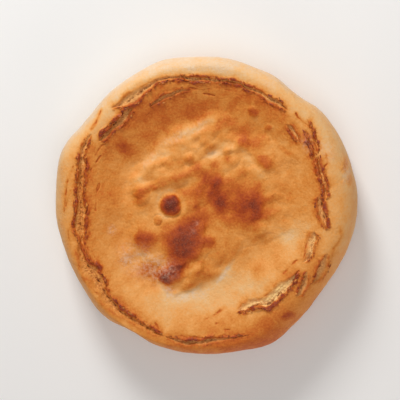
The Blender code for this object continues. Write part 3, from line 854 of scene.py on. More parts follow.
# %% Hairline cracks
HAIRLINE_WIDTH = 0.27
HAIRLINE_DEPTH = 0.5
GLOW_WIDTH = 1.1
HAIRLINES = [
    [(-9.5, 64.5), (-2, 63), (6, 64.2), (15, 62.3)],
    [(-1, 61), (2, 60.6), (5, 60)],
    [(-70.8, 22.3), (-74.2, 13.7), (-75.5, 6.2), (-76.6, -2.4)],
    [(-72.2, 9.5), (-73.5, 5.5), (-75.5, 0.3)],
    [(-74.2, -12), (-74.2, -16), (-73, -21)],
    [(-56.2, 27.7), (-61.6, 20.2), (-61, 16.9)],
    [(-57.4, 12.2), (-59, 6), (-59.4, -2)],
    [(-64, -22), (-62, -28), (-58, -33)],
    [(-52, 35), (-56, 33), (-59, 28)],
    [(0, -61), (5, -58.5), (10, -55)],
    [(10, -66.5), (14, -65.6)],
    [(6, -62.8), (10, -62)],
    [(23, -69), (27, -68)],
    [(-27, -63), (-25, -66), (-23, -68)],
    [(-8, -70), (0, -71), (8, -70)],
    [(68, -25), (68.6, -21), (71, -18), (72.8, -13.7), (72, -10)],
    [(48, 51), (49, 49), (55, 44)],
    [(-56, 52), (-58.5, 46), (-61, 42)],
    [(64, 29), (65, 25), (62.5, 22)],
    [(42.1, -34.8), (48.8, -27.7), (51.1, -27.1)],
    [(46.1, -38.2), (50.5, -33.1)],
    [(53, -26), (54, -20), (56, -14)],
    [(-32, 49), (-28, 52)],
    [(57, 33), (58.5, 26), (58, 20)],
]
hairline, glow = np.zeros(len(face_x)), np.zeros(len(face_x))
for number, line in enumerate(HAIRLINES):
    away = beside_line(face_x, face_y, line)[0] + 0.5 * grain(round_points, 2.5, 500 + number)
    hairline = np.maximum(hairline, np.exp(-((away / HAIRLINE_WIDTH) ** 2)))
    glow = np.maximum(glow, np.exp(-((away / GLOW_WIDTH) ** 2)))
hairline *= top * smooth_step(0.6 + 1.3 * rough(round_points, 3.0, 530, 2))
shaped += out * (0.05 * glow * top - HAIRLINE_DEPTH * hairline)[:, None]
print("hairline cracks:", len(HAIRLINES))

# %% [markdown]
# ## Browning
# A number at each point, from 0 to 1, says how browned the crust is, and in places it also holds painted
# light and shade. High places brown first, the rim's wall stays pale, and the hottest and the palest spots
# are named here, among them painted shade on slopes turned from the lamp and painted highlights on slopes
# turned to it. So are the places where the flour of the dusting stayed on, with a few pale strips that are
# painted highlights.

# %% Browned, pale and floured places
# Each browned spot, some of them painted shade: x, y, half length, half width (mm), turn (degrees), strength
SPOTS = [
    (-12, -17.5, 12.5, 13.5, 0, 0.2), (-11.5, -18.5, 9, 8.5, 0, 0.11), (-32.5, -17.5, 5.8, 5.2, 0, 0.13),
    (-33, -20, 9, 7, 0, 0.05), (6, 15, 3.8, 3.6, 0, 0.08), (4, 18, 6, 7, 0, 0.04),
    (5.5, 7.5, 5.0, 8.4, 8, 0.11), (8, -1, 4.2, 6, 0, 0.08), (-5, 22.5, 3.6, 3.4, 0, 0.12),
    (-13, 25, 3, 2.2, 0, 0.09), (-8, 26.5, 1.8, 1.5, 0, 0.06), (-20, 23.5, 3.5, 1.8, 10, 0.08),
    (5, 23.5, 2.8, 2.4, 0, 0.09), (2, 33, 3.5, 1.8, -10, 0.09), (20, 34, 5, 2.6, 20, 0.05),
    (27, 35, 4, 2.5, -20, 0.05), (-1, 17, 5, 4, -30, 0.07), (11.5, 27, 2.6, 2.6, 0, 0.11),
    (2.0, -18.5, 3.8, 3.4, 0, 0.16), (25.5, 51.3, 3, 2.4, 0, 0.14), (33.5, 43, 2.2, 1.8, 0, 0.1),
    (-3, 6, 13, 15, 0, 0.07), (13, 3, 22, 18, 0, 0.1), (20, 0, 13.5, 10.5, -20, 0.12),
    (23.5, -2.5, 8, 6.5, 0, 0.07), (27.5, 5, 4.6, 9, 0, 0.08), (-3, -8, 7, 8, 20, 0.08),
    (-44, 32, 4.4, 3.4, -10, 0.15), (44, 30, 7, 1.6, -30, 0.1), (33, 24, 6, 3.4, -25, 0.09),
    (10, 45, 8, 2.6, 22, 0.1), (24, 38, 10, 8, -20, 0.07), (29, -36, 4.6, 4, 0, 0.09),
    (45, -58, 3.6, 2.6, 0, 0.14), (74.5, 24, 2, 5, -15, 0.22), (77, 15, 1.8, 3, 0, 0.2),
    (-18, -36, 9, 6, 20, 0.14), (-19, -39, 5, 3.6, 10, 0.08), (-30, -35, 8, 5, 0, 0.12),
    # (-34, 6.5) and (-22, 12.5) are painted shade on the side of a ridge turned from the lamp.
    (-14, -29, 9, 5, 0, 0.1), (-34, 6.5, 7.5, 3.4, 35, 0.05), (-22, 12.5, 10, 3.6, 20, 0.06),
    (-3, -37, 13, 6, 30, 0.05), (-22, -40, 4.5, 2.2, -30, 0.12), (-10, -45, 6, 2.2, 35, 0.11),
    (2, -39, 7, 2, 22, 0.11), (22, -24, 6, 1.8, 45, 0.07), (28, -17, 5, 2, 25, 0.07),
    # From (-44, 32, 17, 8) on to (-42, 46), the broad spots darken the dish's upper wall, which faces away
    # from the lamp: partly browner crust, partly painted shade.
    (43, -7, 4, 3, 0, 0.05), (42, 2, 7, 6, 0, 0.04), (-44, 32, 17, 8, 40, 0.05), (-12, 54, 32, 9, 8, 0.12),
    (-31, 37, 16, 6, 42, 0.08), (-6, 52, 14, 5, 20, 0.06), (32, 56, 22, 8, -35, 0.08),
    (-42, 46, 18, 8, 50, 0.07), (-54, 8, 8, 26, 0, 0.05),
]
# Each pale spot, in the same form, many of them painted highlights and painted light
PALE_SPOTS = [
    (4, 28.5, 5, 1.6, 20, 0.12), (13, 33.5, 6, 2, 0, 0.1), (30, 30, 7, 1.8, 0, 0.06),
    (29, 18.5, 6, 2, -30, 0.08), (50, -18, 10, 11, 0, 0.13), (-12, 32, 10, 5, 20, 0.06),
    # The strips at (-30, 25.5), (-23, 28.5), (-16, 37.5), (-4, 43) and (4, 48) are painted highlights on the
    # lit flank of the upper-left ridge.
    (-10, 14, 8, 2, 10, 0.08), (-37, 16, 5, 2, 40, 0.06), (-30, 25.5, 6, 2, 40, 0.09),
    (-23, 28.5, 5, 1.8, 10, 0.07), (-16, 37.5, 8, 2, 30, 0.07), (-4, 43, 7, 2, 35, 0.08),
    # Those at (-39, -14), (-31, -27), (-5.5, -33.5) and (-23, -45) are painted highlights on the lit sides of
    # lumps and folds.
    (4, 48, 4, 2, 20, 0.05), (-8, -3, 5, 3, -35, 0.07), (-39, -14, 2, 4, -20, 0.06),
    (-31, -27, 5, 1.5, -20, 0.08), (-5.5, -33.5, 5, 1.6, 25, 0.11), (-23, -45, 1.6, 5, 40, 0.1),
    (53, -17, 2.5, 5, -20, 0.06), (35, -11, 7, 2, 15, 0.06), (13, -35, 9, 3, 60, 0.06),
    # (10, -36.5) is a painted highlight on the step's crest. (-6, -48), (12, -46), (-28, -54) and (30, -45)
    # pale the lower dish: partly paler crust, partly painted light on the slope that faces the lamp.
    (-6, -48, 12, 3, 20, 0.08), (10, -36.5, 8, 1.5, 55, 0.13), (12, -46, 36, 11, 8, 0.18),
    (25, -25, 8, 6, 45, 0.05), (-28, -54, 18, 8, -35, 0.12), (30, -45, 16, 10, 30, 0.06),
    (-36, -27, 7, 3, -30, 0.05), (48, -5, 12, 15, 0, 0.05), (-58, -20, 8, 14, 0, 0.02),
    (-38, 12, 5, 3, 30, 0.04), (16, 20, 8, 6, 0, 0.05),
]
# Each dusting of flour, a few of them painted highlights: x, y, half length, half width (mm), turn (degrees),
# strength
DUSTED_AND_HIGHLIGHTS = [
    (-36, -30, 13, 9, -30, 0.6), (-26, -42, 7, 3, -30, 0.45), (-33, -27.5, 6, 1.5, -20, 0.7),
    (-51, -13, 2.5, 3, 0, 0.7), (-43, -29, 4, 3, 0, 0.7), (-19, -47, 4, 3, -45, 0.9),
    (-24, -33, 8, 6, 0, 0.6), (-19, -38, 5, 4, 0, 0.2), (75.5, 21, 2.6, 8, -12, 0.9),
    (65, 32, 4, 6, 20, 0.6), (34, 67, 5, 3, -30, 0.6), (-11, -18, 10, 9, 0, 0.07), (54, 35, 3, 5, 0, 0.5),
    # (10, -36.5) below is a painted highlight on the step's crest; (-16, 37.5), (-4, 43) and (-30, 26) on the
    # ridge are partly flour, partly painted highlight.
    (-16, 37.5, 9, 2.4, 28, 0.55), (-4, 43, 7, 2.4, 35, 0.5), (-30, 26, 7, 2.2, 40, 0.4),
    (3, 28.5, 4.5, 1.2, 20, 0.45), (10, -36.5, 7, 1.2, 55, 0.4), (-5, -8.5, 1.5, 1.5, 0, 0.5),
    (-7, -12.5, 2.5, 1.5, 0, 0.2),
]
# How browned the rim and the wall are by direction, in the form of the pulls; the wall's extra browning
# towards the bottom is painted shade
RIM_BAKE = [
    (0, 60, -0.02), (60, 40, 0.04), (95, 80, -0.22), (180, 50, 0.06), (285, 90, 0.2), (225, 30, 0.03),
]
# (290, 90, 0.31) browns the wall towards the bottom, which faces away from the key lamp; that extra browning
# is painted shade.
WALL_BAKE_AND_SHADE = [
    (25, 40, 0.06), (95, 90, -0.17), (140, 45, -0.14), (290, 90, 0.31), (225, 40, 0.1), (180, 50, -0.03),
]
print("browned, pale and floured places:", len(SPOTS), len(PALE_SPOTS), len(DUSTED_AND_HIGHLIGHTS))

# %% [markdown]
# ## From places to numbers
# The spots are added to a level for the face, the rim and the wall. Then three kinds of crust get
# their own rule: round a tear it is at least as brown as its halo, a torn lip is scorched in pieces,
# and the sole browns where it lay on the hot wall of the oven.

# %% Browning
FACE_LEVEL = 0.46
RIM_LEVEL = 0.36
WALL_LEVEL = 0.26
HALO_LEVEL = 0.65
LIP_LEVEL = 0.765
GLOW_LEVEL = 0.51
HAIRLINE_LEVEL = 0.68
SOLE_BROWNS = 0.30

ring_here = pulled(RING_RADIUS, RING_PULLS, face_degrees)
on_rim = smooth_step((face_radius - ring_here + 2.0) / 4.0)
down_wall = np.clip((CREST_HEIGHT - shaped[:, 2]) / 14.0, 0.0, 1.0)
rim_bake = RIM_LEVEL + pulled(0.0, RIM_BAKE, face_degrees)
wall_bake_and_shade = WALL_LEVEL + pulled(0.0, WALL_BAKE_AND_SHADE, face_degrees)
bake = FACE_LEVEL + (rim_bake + (wall_bake_and_shade - rim_bake) * down_wall - FACE_LEVEL) * on_rim
bake += (0.03 * swelling + 0.06 * dimples + swelling_bake_and_shading) * inside_face
# The spots include painted shade, and the pale spots painted highlights and painted light.
bake += (patches(SPOTS, 600) - patches(PALE_SPOTS, 620)) * top
bake += 0.07 * rough(shaped, 34.0, 635, 2) * (1.0 - inside_face)
blotches = 0.06 * rough(round_points, 12.0, 640, 3) * (0.5 + 0.5 * inside_face)
bake += blotches + 0.07 * rough(round_points, 4.0, 645, 3)

halo_grain = 0.8 + 0.5 * rough(round_points, 3.0, 655, 2)
haloed = np.clip(1.15 * tear["halo"] * (1.0 - tear["crumb"]) * halo_grain, 0.0, 1.0)
bake += np.maximum(HALO_LEVEL - bake, 0.0) * haloed + 0.14 * split
in_pieces = 0.3 + 1.1 * smooth_step(0.5 + 1.5 * rough(round_points, 2.4, 650, 2))
scorched = np.clip(tear["browned"] * in_pieces, 0.0, 1.0)
bake += (LIP_LEVEL - bake) * scorched
bake += np.maximum(GLOW_LEVEL - bake, 0.0) * glow * top
bake += np.maximum(HAIRLINE_LEVEL - bake, 0.0) * np.clip(hairline, 0.0, 1.0)

sole = 1.0 - smooth_step((shaped[:, 2] - 0.3 + 1.8 * rough(shaped, 15.0, 665, 2)) / 6.0)
bake += SOLE_BROWNS * sole * (0.8 + 0.4 * rough(shaped, 9.0, 660, 3))
# Flour, and a few pale strips that are painted highlights.
flour_and_highlight = np.clip(patches(DUSTED_AND_HIGHLIGHTS, 680), 0.0, 1.0) * top
flour_and_highlight += 0.25 * sole * smooth_step(rough(shaped, 14.0, 690, 2) + 0.3)
print("browning from", bake.min().round(2), "to", bake.max().round(2))

# %% [markdown]
# ## In the box
# The relief and the lips have moved the outline a little, so the bread is set over the origin again
# and kept in the box of the plain solid. What stands too high is eased down: a plain cut would leave
# flats.

# %% Set in the box
BOX_GAP = 0.02
EASED = 0.5


def below_ceiling(points):
    """Eases the highest points down, so that none stands above the plain solid's box."""
    ceiling = PLAIN_BOX[1][2] / MM - BOX_GAP
    over = points[:, 2] - (ceiling - EASED)
    points[:, 2] = np.where(over > 0.0, ceiling - EASED * np.exp(-over / EASED), points[:, 2])


def set_in_box(points):
    """Sets the middle of the outline over the origin and keeps all points in the plain solid's box."""
    middle = 0.5 * (points[:, :2].min(axis=0) + points[:, :2].max(axis=0))
    points[:, :2] -= middle
    low, high = (np.array(corner) / MM for corner in PLAIN_BOX)
    size = np.ptp(points[:, :2], axis=0)
    points[:, :2] *= np.minimum(1.0, ((high - low)[:2] - BOX_GAP) / size)
    below_ceiling(points)
    points[:, 2] = np.maximum(points[:, 2], 0.0)
    return middle


middle = set_in_box(shaped)
set_points(dough, shaped)
print("moved by, mm:", -middle.round(2), " height:", shaped[:, 2].max().round(2))

# %% [markdown]
# ## One mesh
# The numbers that the material needs go onto the mesh as attributes. A Decimate modifier then thins
# the smooth parts, so that the triangles stay where the crust is torn.

# %% Finished mesh
SHOWN_TRIANGLES = 190000


def keep_on_points(mesh, name, values):
    """Stores one number for each point of the mesh, for the material to read."""
    held = mesh.attributes.new(name, "FLOAT", "POINT")
    held.data.foreach_set("value", values.astype(np.float32))


fields = {"bake": bake, "flour_and_highlight": flour_and_highlight, "lip": scorched}
fields.update({name: tear[name] for name in ("crumb", "tone", "pit_shadow")})
for name, values in fields.items():
    keep_on_points(dough, name, values)
full = bpy.data.objects.new("full", dough)
bpy.context.scene.collection.objects.link(full)
fewer = full.modifiers.new("fewer", "DECIMATE")
fewer.ratio = SHOWN_TRIANGLES / (2.0 * len(dough.polygons))
fewer.use_collapse_triangulate = True
baked = bpy.data.meshes.new_from_object(full.evaluated_get(bpy.context.evaluated_depsgraph_get()))
bpy.data.objects.remove(full)
baked.name = "baked_bread"
baked.shade_smooth()
bread = bpy.data.objects.new("baked_bread", baked)
bpy.context.scene.collection.objects.link(bread)
print("finished bread:", len(baked.polygons), "triangles, with the numbers", list(fields))

# %% [markdown]
# ## Node tools
# A material is a tree of nodes, and naming each socket by hand makes long scripts. This small class
# adds a node and links it in one call, so that the material reads as a list of layers. `patchy` turns
# noise into soft islands, for flour and flecks that lie only here and there.

# %% Node tools
def linear(red, green, blue):
    """A colour as it looks on a screen (0 to 255), as the shader wants it."""
    def one(value):
        value /= 255.0
        return value / 12.92 if value <= 0.04045 else ((value + 0.055) / 1.055) ** 2.4
    return (one(red), one(green), one(blue), 1.0)


BLACK = (0.0, 0.0, 0.0, 1.0)
WHITE = (1.0, 1.0, 1.0, 1.0)


class Layers:
    """Builds the nodes of a material in few words."""

    def __init__(self, material):
        material.use_nodes = True
        self.tree = material.node_tree
        self.shader = self.tree.nodes["Principled BSDF"]

    def new(self, kind, inputs=None, **settings):
        made = self.tree.nodes.new(kind)
        for name, value in settings.items():
            setattr(made, name, value)
        for key, value in (inputs or {}).items():
            self.give(made.inputs[key], value)
        return made

    def give(self, socket, value):
        """Links another node's output to a socket, or sets the socket's own value."""
        if isinstance(value, bpy.types.NodeSocket):
            self.tree.links.new(value, socket)
        else:
            socket.default_value = value

    def attribute(self, name):
        return self.new("ShaderNodeAttribute", attribute_name=name).outputs["Fac"]

    def maths(self, operation, first, second=0.0, clamp=False):
        inputs = {0: first, 1: second}
        return self.new("ShaderNodeMath", inputs, operation=operation, use_clamp=clamp).outputs[0]

    def noise(self, where, per_mm, detail=3.0, roughness=0.55, distortion=0.0):
        inputs = {"Vector": where, "Scale": per_mm, "Detail": detail, "Roughness": roughness}
        inputs["Distortion"] = distortion
        return self.new("ShaderNodeTexNoise", inputs).outputs[0]

    def swing(self, noise, width):
        """Noise as a swing of a given width about 0."""
        return self.maths("MULTIPLY", self.maths("SUBTRACT", noise, 0.5), width)

    def ramp(self, factor, stops):
        made = self.new("ShaderNodeValToRGB", {"Fac": factor})
        band = made.color_ramp
        while len(band.elements) < len(stops):
            band.elements.new(0.5)
        for element, (place, colour) in zip(band.elements, stops):
            element.position = place
            element.color = colour
        return made.outputs["Color"]

    def patchy(self, noise, low, high):
        """Noise as soft islands: 0 where it is below low, 1 where it is above high."""
        return self.ramp(noise, [(low, BLACK), (high, WHITE)])

    def mix(self, factor, first, second):
        made = self.new("ShaderNodeMix", data_type="RGBA", blend_type="MIX")
        self.give(made.inputs[0], factor)
        self.give(made.inputs[6], first)
        self.give(made.inputs[7], second)
        return made.outputs[2]


print("a mid orange as the shader has it:", [round(value, 2) for value in linear(216, 134, 53)])

# %% [markdown]
# ## Colours of the bake
# Dough goes from cream over gold and orange to a dark red brown. The stops of the ramp aren't evenly
# spaced: the eye knows the golden range of bread best, so most of them lie there. Torn crumb bakes
# duller than skin, brown in the narrow tears and nearly white in the widest.

# %% Colours
CRUST_COLOURS = [
    (0.00, linear(230, 208, 181)),
    (0.12, linear(224, 191, 154)),
    (0.25, linear(230, 178, 116)),
    (0.40, linear(230, 158, 82)),
    (0.52, linear(216, 134, 53)),
    (0.62, linear(198, 102, 29)),
    (0.74, linear(168, 66, 13)),
    (0.86, linear(124, 44, 18)),
    (1.00, linear(82, 32, 24)),
]
BROWN_CRUMB = [
    (0.30, linear(152, 68, 14)),
    (0.42, linear(194, 102, 30)),
    (0.56, linear(218, 138, 52)),
    (0.72, linear(240, 180, 96)),
]
PALE_CRUMB = [
    (0.30, linear(222, 158, 86)),
    (0.40, linear(248, 204, 134)),
    (0.56, linear(250, 208, 138)),
    (0.72, linear(255, 228, 174)),
]
# The pit colour is partly dark crumb and partly painted shadow along a tear's deepest line.
PIT_AND_SHADOW_COLOUR = linear(126, 62, 24)
FLOUR_AND_HIGHLIGHT_COLOUR = linear(230, 198, 172)
SPECK_COLOUR = linear(228, 160, 112)
# The lips' purple is partly scorched crust and partly painted sheen.
SCORCH_AND_SHEEN_LIP_COLOUR = linear(120, 62, 54)
print("stops of crust and crumb:", len(CRUST_COLOURS), len(BROWN_CRUMB), len(PALE_CRUMB))

# %% [markdown]
# ## Crust material
# The browning number, with the painted light and shade that it holds, picks a colour from the ramp. Noise at
# two scales is added first, so that no two spots match. Torn crumb with painted shadow in its pits, flour
# with a few strips painted as highlights, pale specks on the darkest skin and the purple of the lips, partly
# scorch and partly painted sheen, are mixed over it. Pores and leathery wrinkles come from bump, because they
# are finer than the mesh.

# %% Crust material
def torn_crumb(layers, in_mm):
    """The colour of torn crumb: brown or pale by the tear, and darkest in its pits, partly with painted
    shadow there.
    """
    bubbles = layers.noise(in_mm, 1.2, 4.0, 0.7)
    brown, pale = layers.ramp(bubbles, BROWN_CRUMB), layers.ramp(bubbles, PALE_CRUMB)
    islands = layers.patchy(layers.noise(in_mm, 0.9, 3.0, 0.6), 0.44, 0.56)
    in_pits_shadowed = layers.maths("MULTIPLY", layers.attribute("pit_shadow"), islands, clamp=True)
    return layers.mix(in_pits_shadowed, layers.mix(layers.attribute("tone"), brown, pale), PIT_AND_SHADOW_COLOUR)


def crust_colour(layers, in_mm):
    """The colour of the crust, with what lies on it and where it is torn."""
    mottle = layers.noise(in_mm, 0.16, 5.0, 0.6, 0.4)
    speckle = layers.noise(in_mm, 0.9, 4.0, 0.65)
    baked_to = layers.maths("ADD", layers.attribute("bake"), layers.swing(mottle, 0.22))
    baked_to = layers.maths("ADD", baked_to, layers.swing(speckle, 0.28), clamp=True)
    colour = layers.ramp(baked_to, CRUST_COLOURS)
    colour = layers.mix(layers.attribute("crumb"), colour, torn_crumb(layers, in_mm))
    # Flour, and a few pale strips that are painted highlights.
    dust_and_highlight_patches = layers.patchy(layers.noise(in_mm, 0.55, 5.0, 0.75), 0.42, 0.66)
    dusty_and_lit = layers.maths("MULTIPLY", layers.attribute("flour_and_highlight"), dust_and_highlight_patches)
    colour = layers.mix(layers.maths("MULTIPLY", dusty_and_lit, 0.65), colour, FLOUR_AND_HIGHLIGHT_COLOUR)
    specks = layers.patchy(layers.noise(in_mm, 1.7, 2.0, 0.5), 0.58, 0.70)
    browned = layers.maths("MULTIPLY", layers.maths("SUBTRACT", baked_to, 0.66), 4.0, clamp=True)
    speckled = layers.maths("MULTIPLY", specks, browned)
    colour = layers.mix(layers.maths("MULTIPLY", speckled, 0.28), colour, SPECK_COLOUR)
    # The purple over the lips: partly scorched crust, partly painted sheen.
    sheen_patches = layers.patchy(layers.noise(in_mm, 0.8, 2.0, 0.5), 0.40, 0.62)
    lip_sheen = layers.maths("MULTIPLY", layers.attribute("lip"), sheen_patches)
    return layers.mix(layers.maths("MULTIPLY", lip_sheen, 0.5), colour, SCORCH_AND_SHEEN_LIP_COLOUR)


def crust_bump(layers, in_mm):
    """Leathery wrinkles and pores, finer than the mesh."""
    leather = layers.noise(in_mm, 0.75, 6.0, 0.62)
    cells = layers.new("ShaderNodeTexVoronoi", {"Vector": in_mm, "Scale": 1.1}, feature="F1")
    pores = layers.maths("MINIMUM", cells.outputs["Distance"], 0.3)
    height = layers.maths("ADD", leather, layers.maths("MULTIPLY", pores, 0.6))
    return layers.new("ShaderNodeBump", {"Strength": 0.8, "Distance": 0.0006, "Height": height}).outputs[0]


def crust_material():
    """The material of baked crust, which reads the numbers on the mesh."""
    material = bpy.data.materials.new("baked_crust")
    layers = Layers(material)
    place = layers.new("ShaderNodeTexCoord").outputs["Object"]
    scale = (1.0 / MM, 1.0 / MM, 1.0 / MM)
    in_mm = layers.new("ShaderNodeMapping", {"Vector": place, "Scale": scale}).outputs[0]
    dull = layers.maths("SUBTRACT", 0.56, layers.maths("MULTIPLY", layers.attribute("lip"), 0.26))
    layers.give(layers.shader.inputs["Base Color"], crust_colour(layers, in_mm))
    layers.give(layers.shader.inputs["Roughness"], dull)
    layers.give(layers.shader.inputs["Specular IOR Level"], 0.25)
    layers.give(layers.shader.inputs["Normal"], crust_bump(layers, in_mm))
    return material


crust = crust_material()
baked.materials.clear()
baked.materials.append(crust)
print("crust material nodes:", len(crust.node_tree.nodes))

# %% [markdown]
# ## A flake of crust
# Where the crust parted, its outer layers broke into thin chips that dried, curled up and browned. One
# chip is a small grid, bent across and pinched at its ends, and given a thickness.

# %% One flake
FLAKE_LENGTH = 2.2
FLAKE_WIDTH = 1.0
FLAKE_THICKNESS = 0.18
FLAKE_CURL = math.radians(80.0)


def flake_mesh():
    """A thin chip of crust along X, curled up at one long side."""
    chip = bmesh.new()
    bmesh.ops.create_grid(chip, x_segments=6, y_segments=3, size=0.5)
    draw = np.random.default_rng(5)
    for vertex in chip.verts:
        pinch = 1.0 - 0.75 * abs(2.0 * vertex.co.x) ** 2.5
        turn = FLAKE_CURL * (vertex.co.y + 0.5) * pinch
        reach = FLAKE_WIDTH / FLAKE_CURL
        vertex.co.x = FLAKE_LENGTH * vertex.co.x + 0.12 * draw.uniform(-1.0, 1.0)
        vertex.co.y = reach * math.sin(turn) - 0.3 * FLAKE_WIDTH + 0.08 * draw.uniform(-1.0, 1.0)
        vertex.co.z = reach * (1.0 - math.cos(turn)) + 0.05 * draw.uniform(-1.0, 1.0)
    bmesh.ops.solidify(chip, geom=chip.faces[:], thickness=FLAKE_THICKNESS)
    bmesh.ops.recalc_face_normals(chip, faces=chip.faces[:])
    bmesh.ops.scale(chip, vec=(MM, MM, MM), verts=chip.verts[:])
    mesh = bpy.data.meshes.new("flake")
    chip.to_mesh(mesh)
    chip.free()
    return mesh


flake = bpy.data.objects.new("flake", flake_mesh())
print("one flake:", sum(len(face.vertices) - 2 for face in flake.data.polygons), "triangles")

# %% [markdown]
# ## The lines that the flakes follow
# The flakes sit on the tears' lips. Each lip gives a line of points high above the bread, moved by
# the same grain that moved the tear's edge, and each point carries how strong the lip is there.

# %% Lip lines
LINE_STEP = 0.5
LINE_HEIGHT = 60.0
BESIDE_EDGE = 0.4


def lip_lines():
    """The lips' lines as a mesh of edges, with each point's strength."""
    places, links, strengths = [], [], []
    for _, _, inner_lip, outer_lip, _, edges in TEARS:
        where, inner_edge, outer_edge = np.array(edges, float).T
        degrees = np.arange(where[0] + 1.0, where[-1] - 1.0, LINE_STEP)
        inner, outer = np.interp(degrees, where, inner_edge), np.interp(degrees, where, outer_edge)
        for edge, strength, beside in ((inner, inner_lip, -BESIDE_EDGE), (outer, outer_lip, BESIDE_EDGE)):
            turn = np.radians(degrees)
            flat = np.stack([edge * np.cos(turn), edge * np.sin(turn), 0.0 * edge], axis=1) * FACE_SCALE
            flat += (FACE_CENTRE[0], FACE_CENTRE[1], CREST_HEIGHT)
            outwards, along = tear_wander(flat)
            radius, turn = (edge - outwards + beside) * FACE_SCALE, turn - along / edge
            x = FACE_CENTRE[0] + radius * np.cos(turn) - middle[0]
            y = FACE_CENTRE[1] + radius * np.sin(turn) - middle[1]
            first = len(places)
            places += [(place_x * MM, place_y * MM, LINE_HEIGHT * MM) for place_x, place_y in zip(x, y)]
            links += [(i, i + 1) for i in range(first, len(places) - 1)]
            strengths.append(strength * smooth_step((outer - inner) / 2.0))
    mesh = bpy.data.meshes.new("lip_lines")
    mesh.from_pydata(places, links, [])
    keep_on_points(mesh, "strength", np.concatenate(strengths))
    return mesh


lines = lip_lines()
print("lip lines:", len(lines.vertices), "points")

# %% [markdown]
# ## Flakes along the lips
# The tree walks each line, drops a ray from each place onto the bread, and sets a flake where it
# lands: along the lip, tilted off the crust, at a random size and browning. A weak lip keeps few of
# them. What the ray finds is stored on the points before they move, because it is worked out from
# where they are.

# %% Flake tree
FLAKE_INPUTS = {
    "Lines": "Geometry", "Bread": "Object", "Flake": "Object", "Spacing": "Float", "Scatter": "Float",
    "Smallest": "Float", "Largest": "Float", "Tilt": "Float", "Seed": "Int", "Crust": "Material",
}
FLAKE_BAKE = (0.45, 0.84)


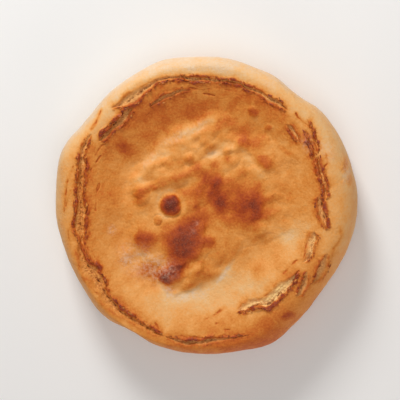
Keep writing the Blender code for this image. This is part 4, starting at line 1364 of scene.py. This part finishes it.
def flake_tree():
    """The Geometry Nodes tree, and the identifier of each of its named inputs."""
    tree = bpy.data.node_groups.new("torn_flakes", "GeometryNodeTree")
    sockets = {}
    for name, kind in FLAKE_INPUTS.items():
        sockets[name] = tree.interface.new_socket(name, in_out="INPUT", socket_type="NodeSocket" + kind)
    tree.interface.new_socket("Flakes", in_out="OUTPUT", socket_type="NodeSocketGeometry")
    given = tree.nodes.new("NodeGroupInput").outputs

    def node(kind, inputs, **settings):
        made = tree.nodes.new(kind)
        for name, value in settings.items():
            setattr(made, name, value)
        for key, value in inputs.items():
            if isinstance(value, bpy.types.NodeSocket):
                tree.links.new(value, made.inputs[key])
            else:
                made.inputs[key].default_value = value
        return made.outputs

    def drawn(low, high, seed, kind="FLOAT"):
        """A random value between low and high, a number or a vector."""
        first = {"FLOAT": 2, "FLOAT_VECTOR": 0}[kind]
        own_seed = node("ShaderNodeMath", {0: given["Seed"], 1: float(seed)}, operation="ADD")[0]
        limits = {first: low, first + 1: high, "Seed": own_seed}
        outputs = node("FunctionNodeRandomValue", limits, data_type=kind)
        return outputs[1] if kind == "FLOAT" else outputs[0]

    def level(value, sign):
        """A vector with value times sign as its X and its Y."""
        signed = node("ShaderNodeMath", {0: value, 1: sign}, operation="MULTIPLY")[0]
        return node("ShaderNodeCombineXYZ", {0: signed, 1: signed})[0]

    def stored(geometry, name, value, kind, domain):
        inputs = {"Geometry": geometry, "Name": name, "Value": value}
        return node("GeometryNodeStoreNamedAttribute", inputs, data_type=kind, domain=domain)[0]

    curve = node("GeometryNodeMeshToCurve", {0: given["Lines"]})[0]
    spaced = {"Curve": curve, "Length": given["Spacing"]}
    walked = node("GeometryNodeResampleCurve", spaced, mode="LENGTH")[0]
    stops = node("GeometryNodeCurveToPoints", {"Curve": walked}, mode="EVALUATED")
    aside = drawn(level(given["Scatter"], -1.0), level(given["Scatter"], 1.0), 1, "FLOAT_VECTOR")
    strewn = node("GeometryNodeSetPosition", {"Geometry": stops["Points"], "Offset": aside})[0]

    ground = node("GeometryNodeObjectInfo", {"Object": given["Bread"]}, transform_space="RELATIVE")
    down = {"Target Geometry": ground["Geometry"], "Ray Direction": (0.0, 0.0, -1.0), "Ray Length": 0.1}
    ray = node("GeometryNodeRaycast", down)
    leaning = stored(strewn, "leaning", ray["Hit Normal"], "FLOAT_VECTOR", "POINT")
    landed = node("GeometryNodeSetPosition", {"Geometry": leaning, "Position": ray["Hit Position"]})[0]

    normal = node("GeometryNodeInputNamedAttribute", {"Name": "leaning"}, data_type="FLOAT_VECTOR")[0]
    axes = {"Primary Axis": normal, "Secondary Axis": stops["Tangent"]}
    laid = node("FunctionNodeAxesToRotation", axes, primary_axis="Z", secondary_axis="X")[0]
    lean = drawn(level(given["Tilt"], -1.0), level(given["Tilt"], 1.0), 2, "FLOAT_VECTOR")
    tilted = node("FunctionNodeEulerToRotation", {0: lean})[0]
    turns = {"Rotation": laid, "Rotate By": tilted}
    turned = node("FunctionNodeRotateRotation", turns, rotation_space="LOCAL")[0]

    strength = node("GeometryNodeInputNamedAttribute", {"Name": "strength"}, data_type="FLOAT")[0]
    chance = {0: drawn(0.15, 1.3, 3), 1: strength}
    kept = node("FunctionNodeCompare", chance, data_type="FLOAT", operation="LESS_THAN")[0]
    chip = node("GeometryNodeObjectInfo", {"Object": given["Flake"]}, transform_space="ORIGINAL")["Geometry"]
    set_on = {"Points": landed, "Selection": kept, "Instance": chip, "Rotation": turned}
    set_on["Scale"] = drawn(given["Smallest"], given["Largest"], 4)
    placed = node("GeometryNodeInstanceOnPoints", set_on)[0]
    browned = stored(placed, "bake", drawn(*FLAKE_BAKE, 5), "FLOAT", "INSTANCE")
    glossy = stored(browned, "lip", 1.0, "FLOAT", "INSTANCE")
    real = node("GeometryNodeRealizeInstances", {"Geometry": glossy})[0]
    dressed = node("GeometryNodeSetMaterial", {"Geometry": real, "Material": given["Crust"]})[0]
    tree.links.new(dressed, tree.nodes.new("NodeGroupOutput").inputs[0])
    return tree, {name: socket.identifier for name, socket in sockets.items()}


tree, identifiers = flake_tree()
print("flake tree:", len(tree.nodes), "nodes")

# %% [markdown]
# ## Plain flakes
# The modifier gets its sizes by the identifiers of the tree's inputs. Blender then works the flakes
# out once, and the result is kept as a plain mesh, so that nothing is left to be worked out later.

# %% Flakes
FLAKE_SPACING = 0.55
FLAKE_SCATTER = 0.5
FLAKE_TILT = 35.0

carrier = bpy.data.objects.new("carrier", lines)
bpy.context.scene.collection.objects.link(carrier)
bpy.context.scene.collection.objects.link(flake)
grow = carrier.modifiers.new("flakes", "NODES")
grow.node_group = tree
chosen = {
    "Bread": bread, "Flake": flake, "Spacing": FLAKE_SPACING * MM, "Scatter": FLAKE_SCATTER * MM,
    "Smallest": 0.35, "Largest": 1.0, "Tilt": math.radians(FLAKE_TILT), "Seed": 3, "Crust": crust,
}
for name, value in chosen.items():
    grow[identifiers[name]] = value
torn_flakes = bpy.data.meshes.new_from_object(carrier.evaluated_get(bpy.context.evaluated_depsgraph_get()))
bpy.data.objects.remove(carrier)
bpy.data.objects.remove(flake)
torn_flakes.name = "torn_flakes"
flake_points = points_of(torn_flakes)
below_ceiling(flake_points)
set_points(torn_flakes, flake_points)
torn_flakes.shade_smooth()
flakes = bpy.data.objects.new("torn_flakes", torn_flakes)
bpy.context.scene.collection.objects.link(flakes)
print("flakes:", len(torn_flakes.polygons), "faces, up to, mm:", flake_points[:, 2].max().round(2))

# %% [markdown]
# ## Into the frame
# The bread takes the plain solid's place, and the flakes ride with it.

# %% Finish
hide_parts("shaobing")
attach(bread, "root")
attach(flakes, "root")
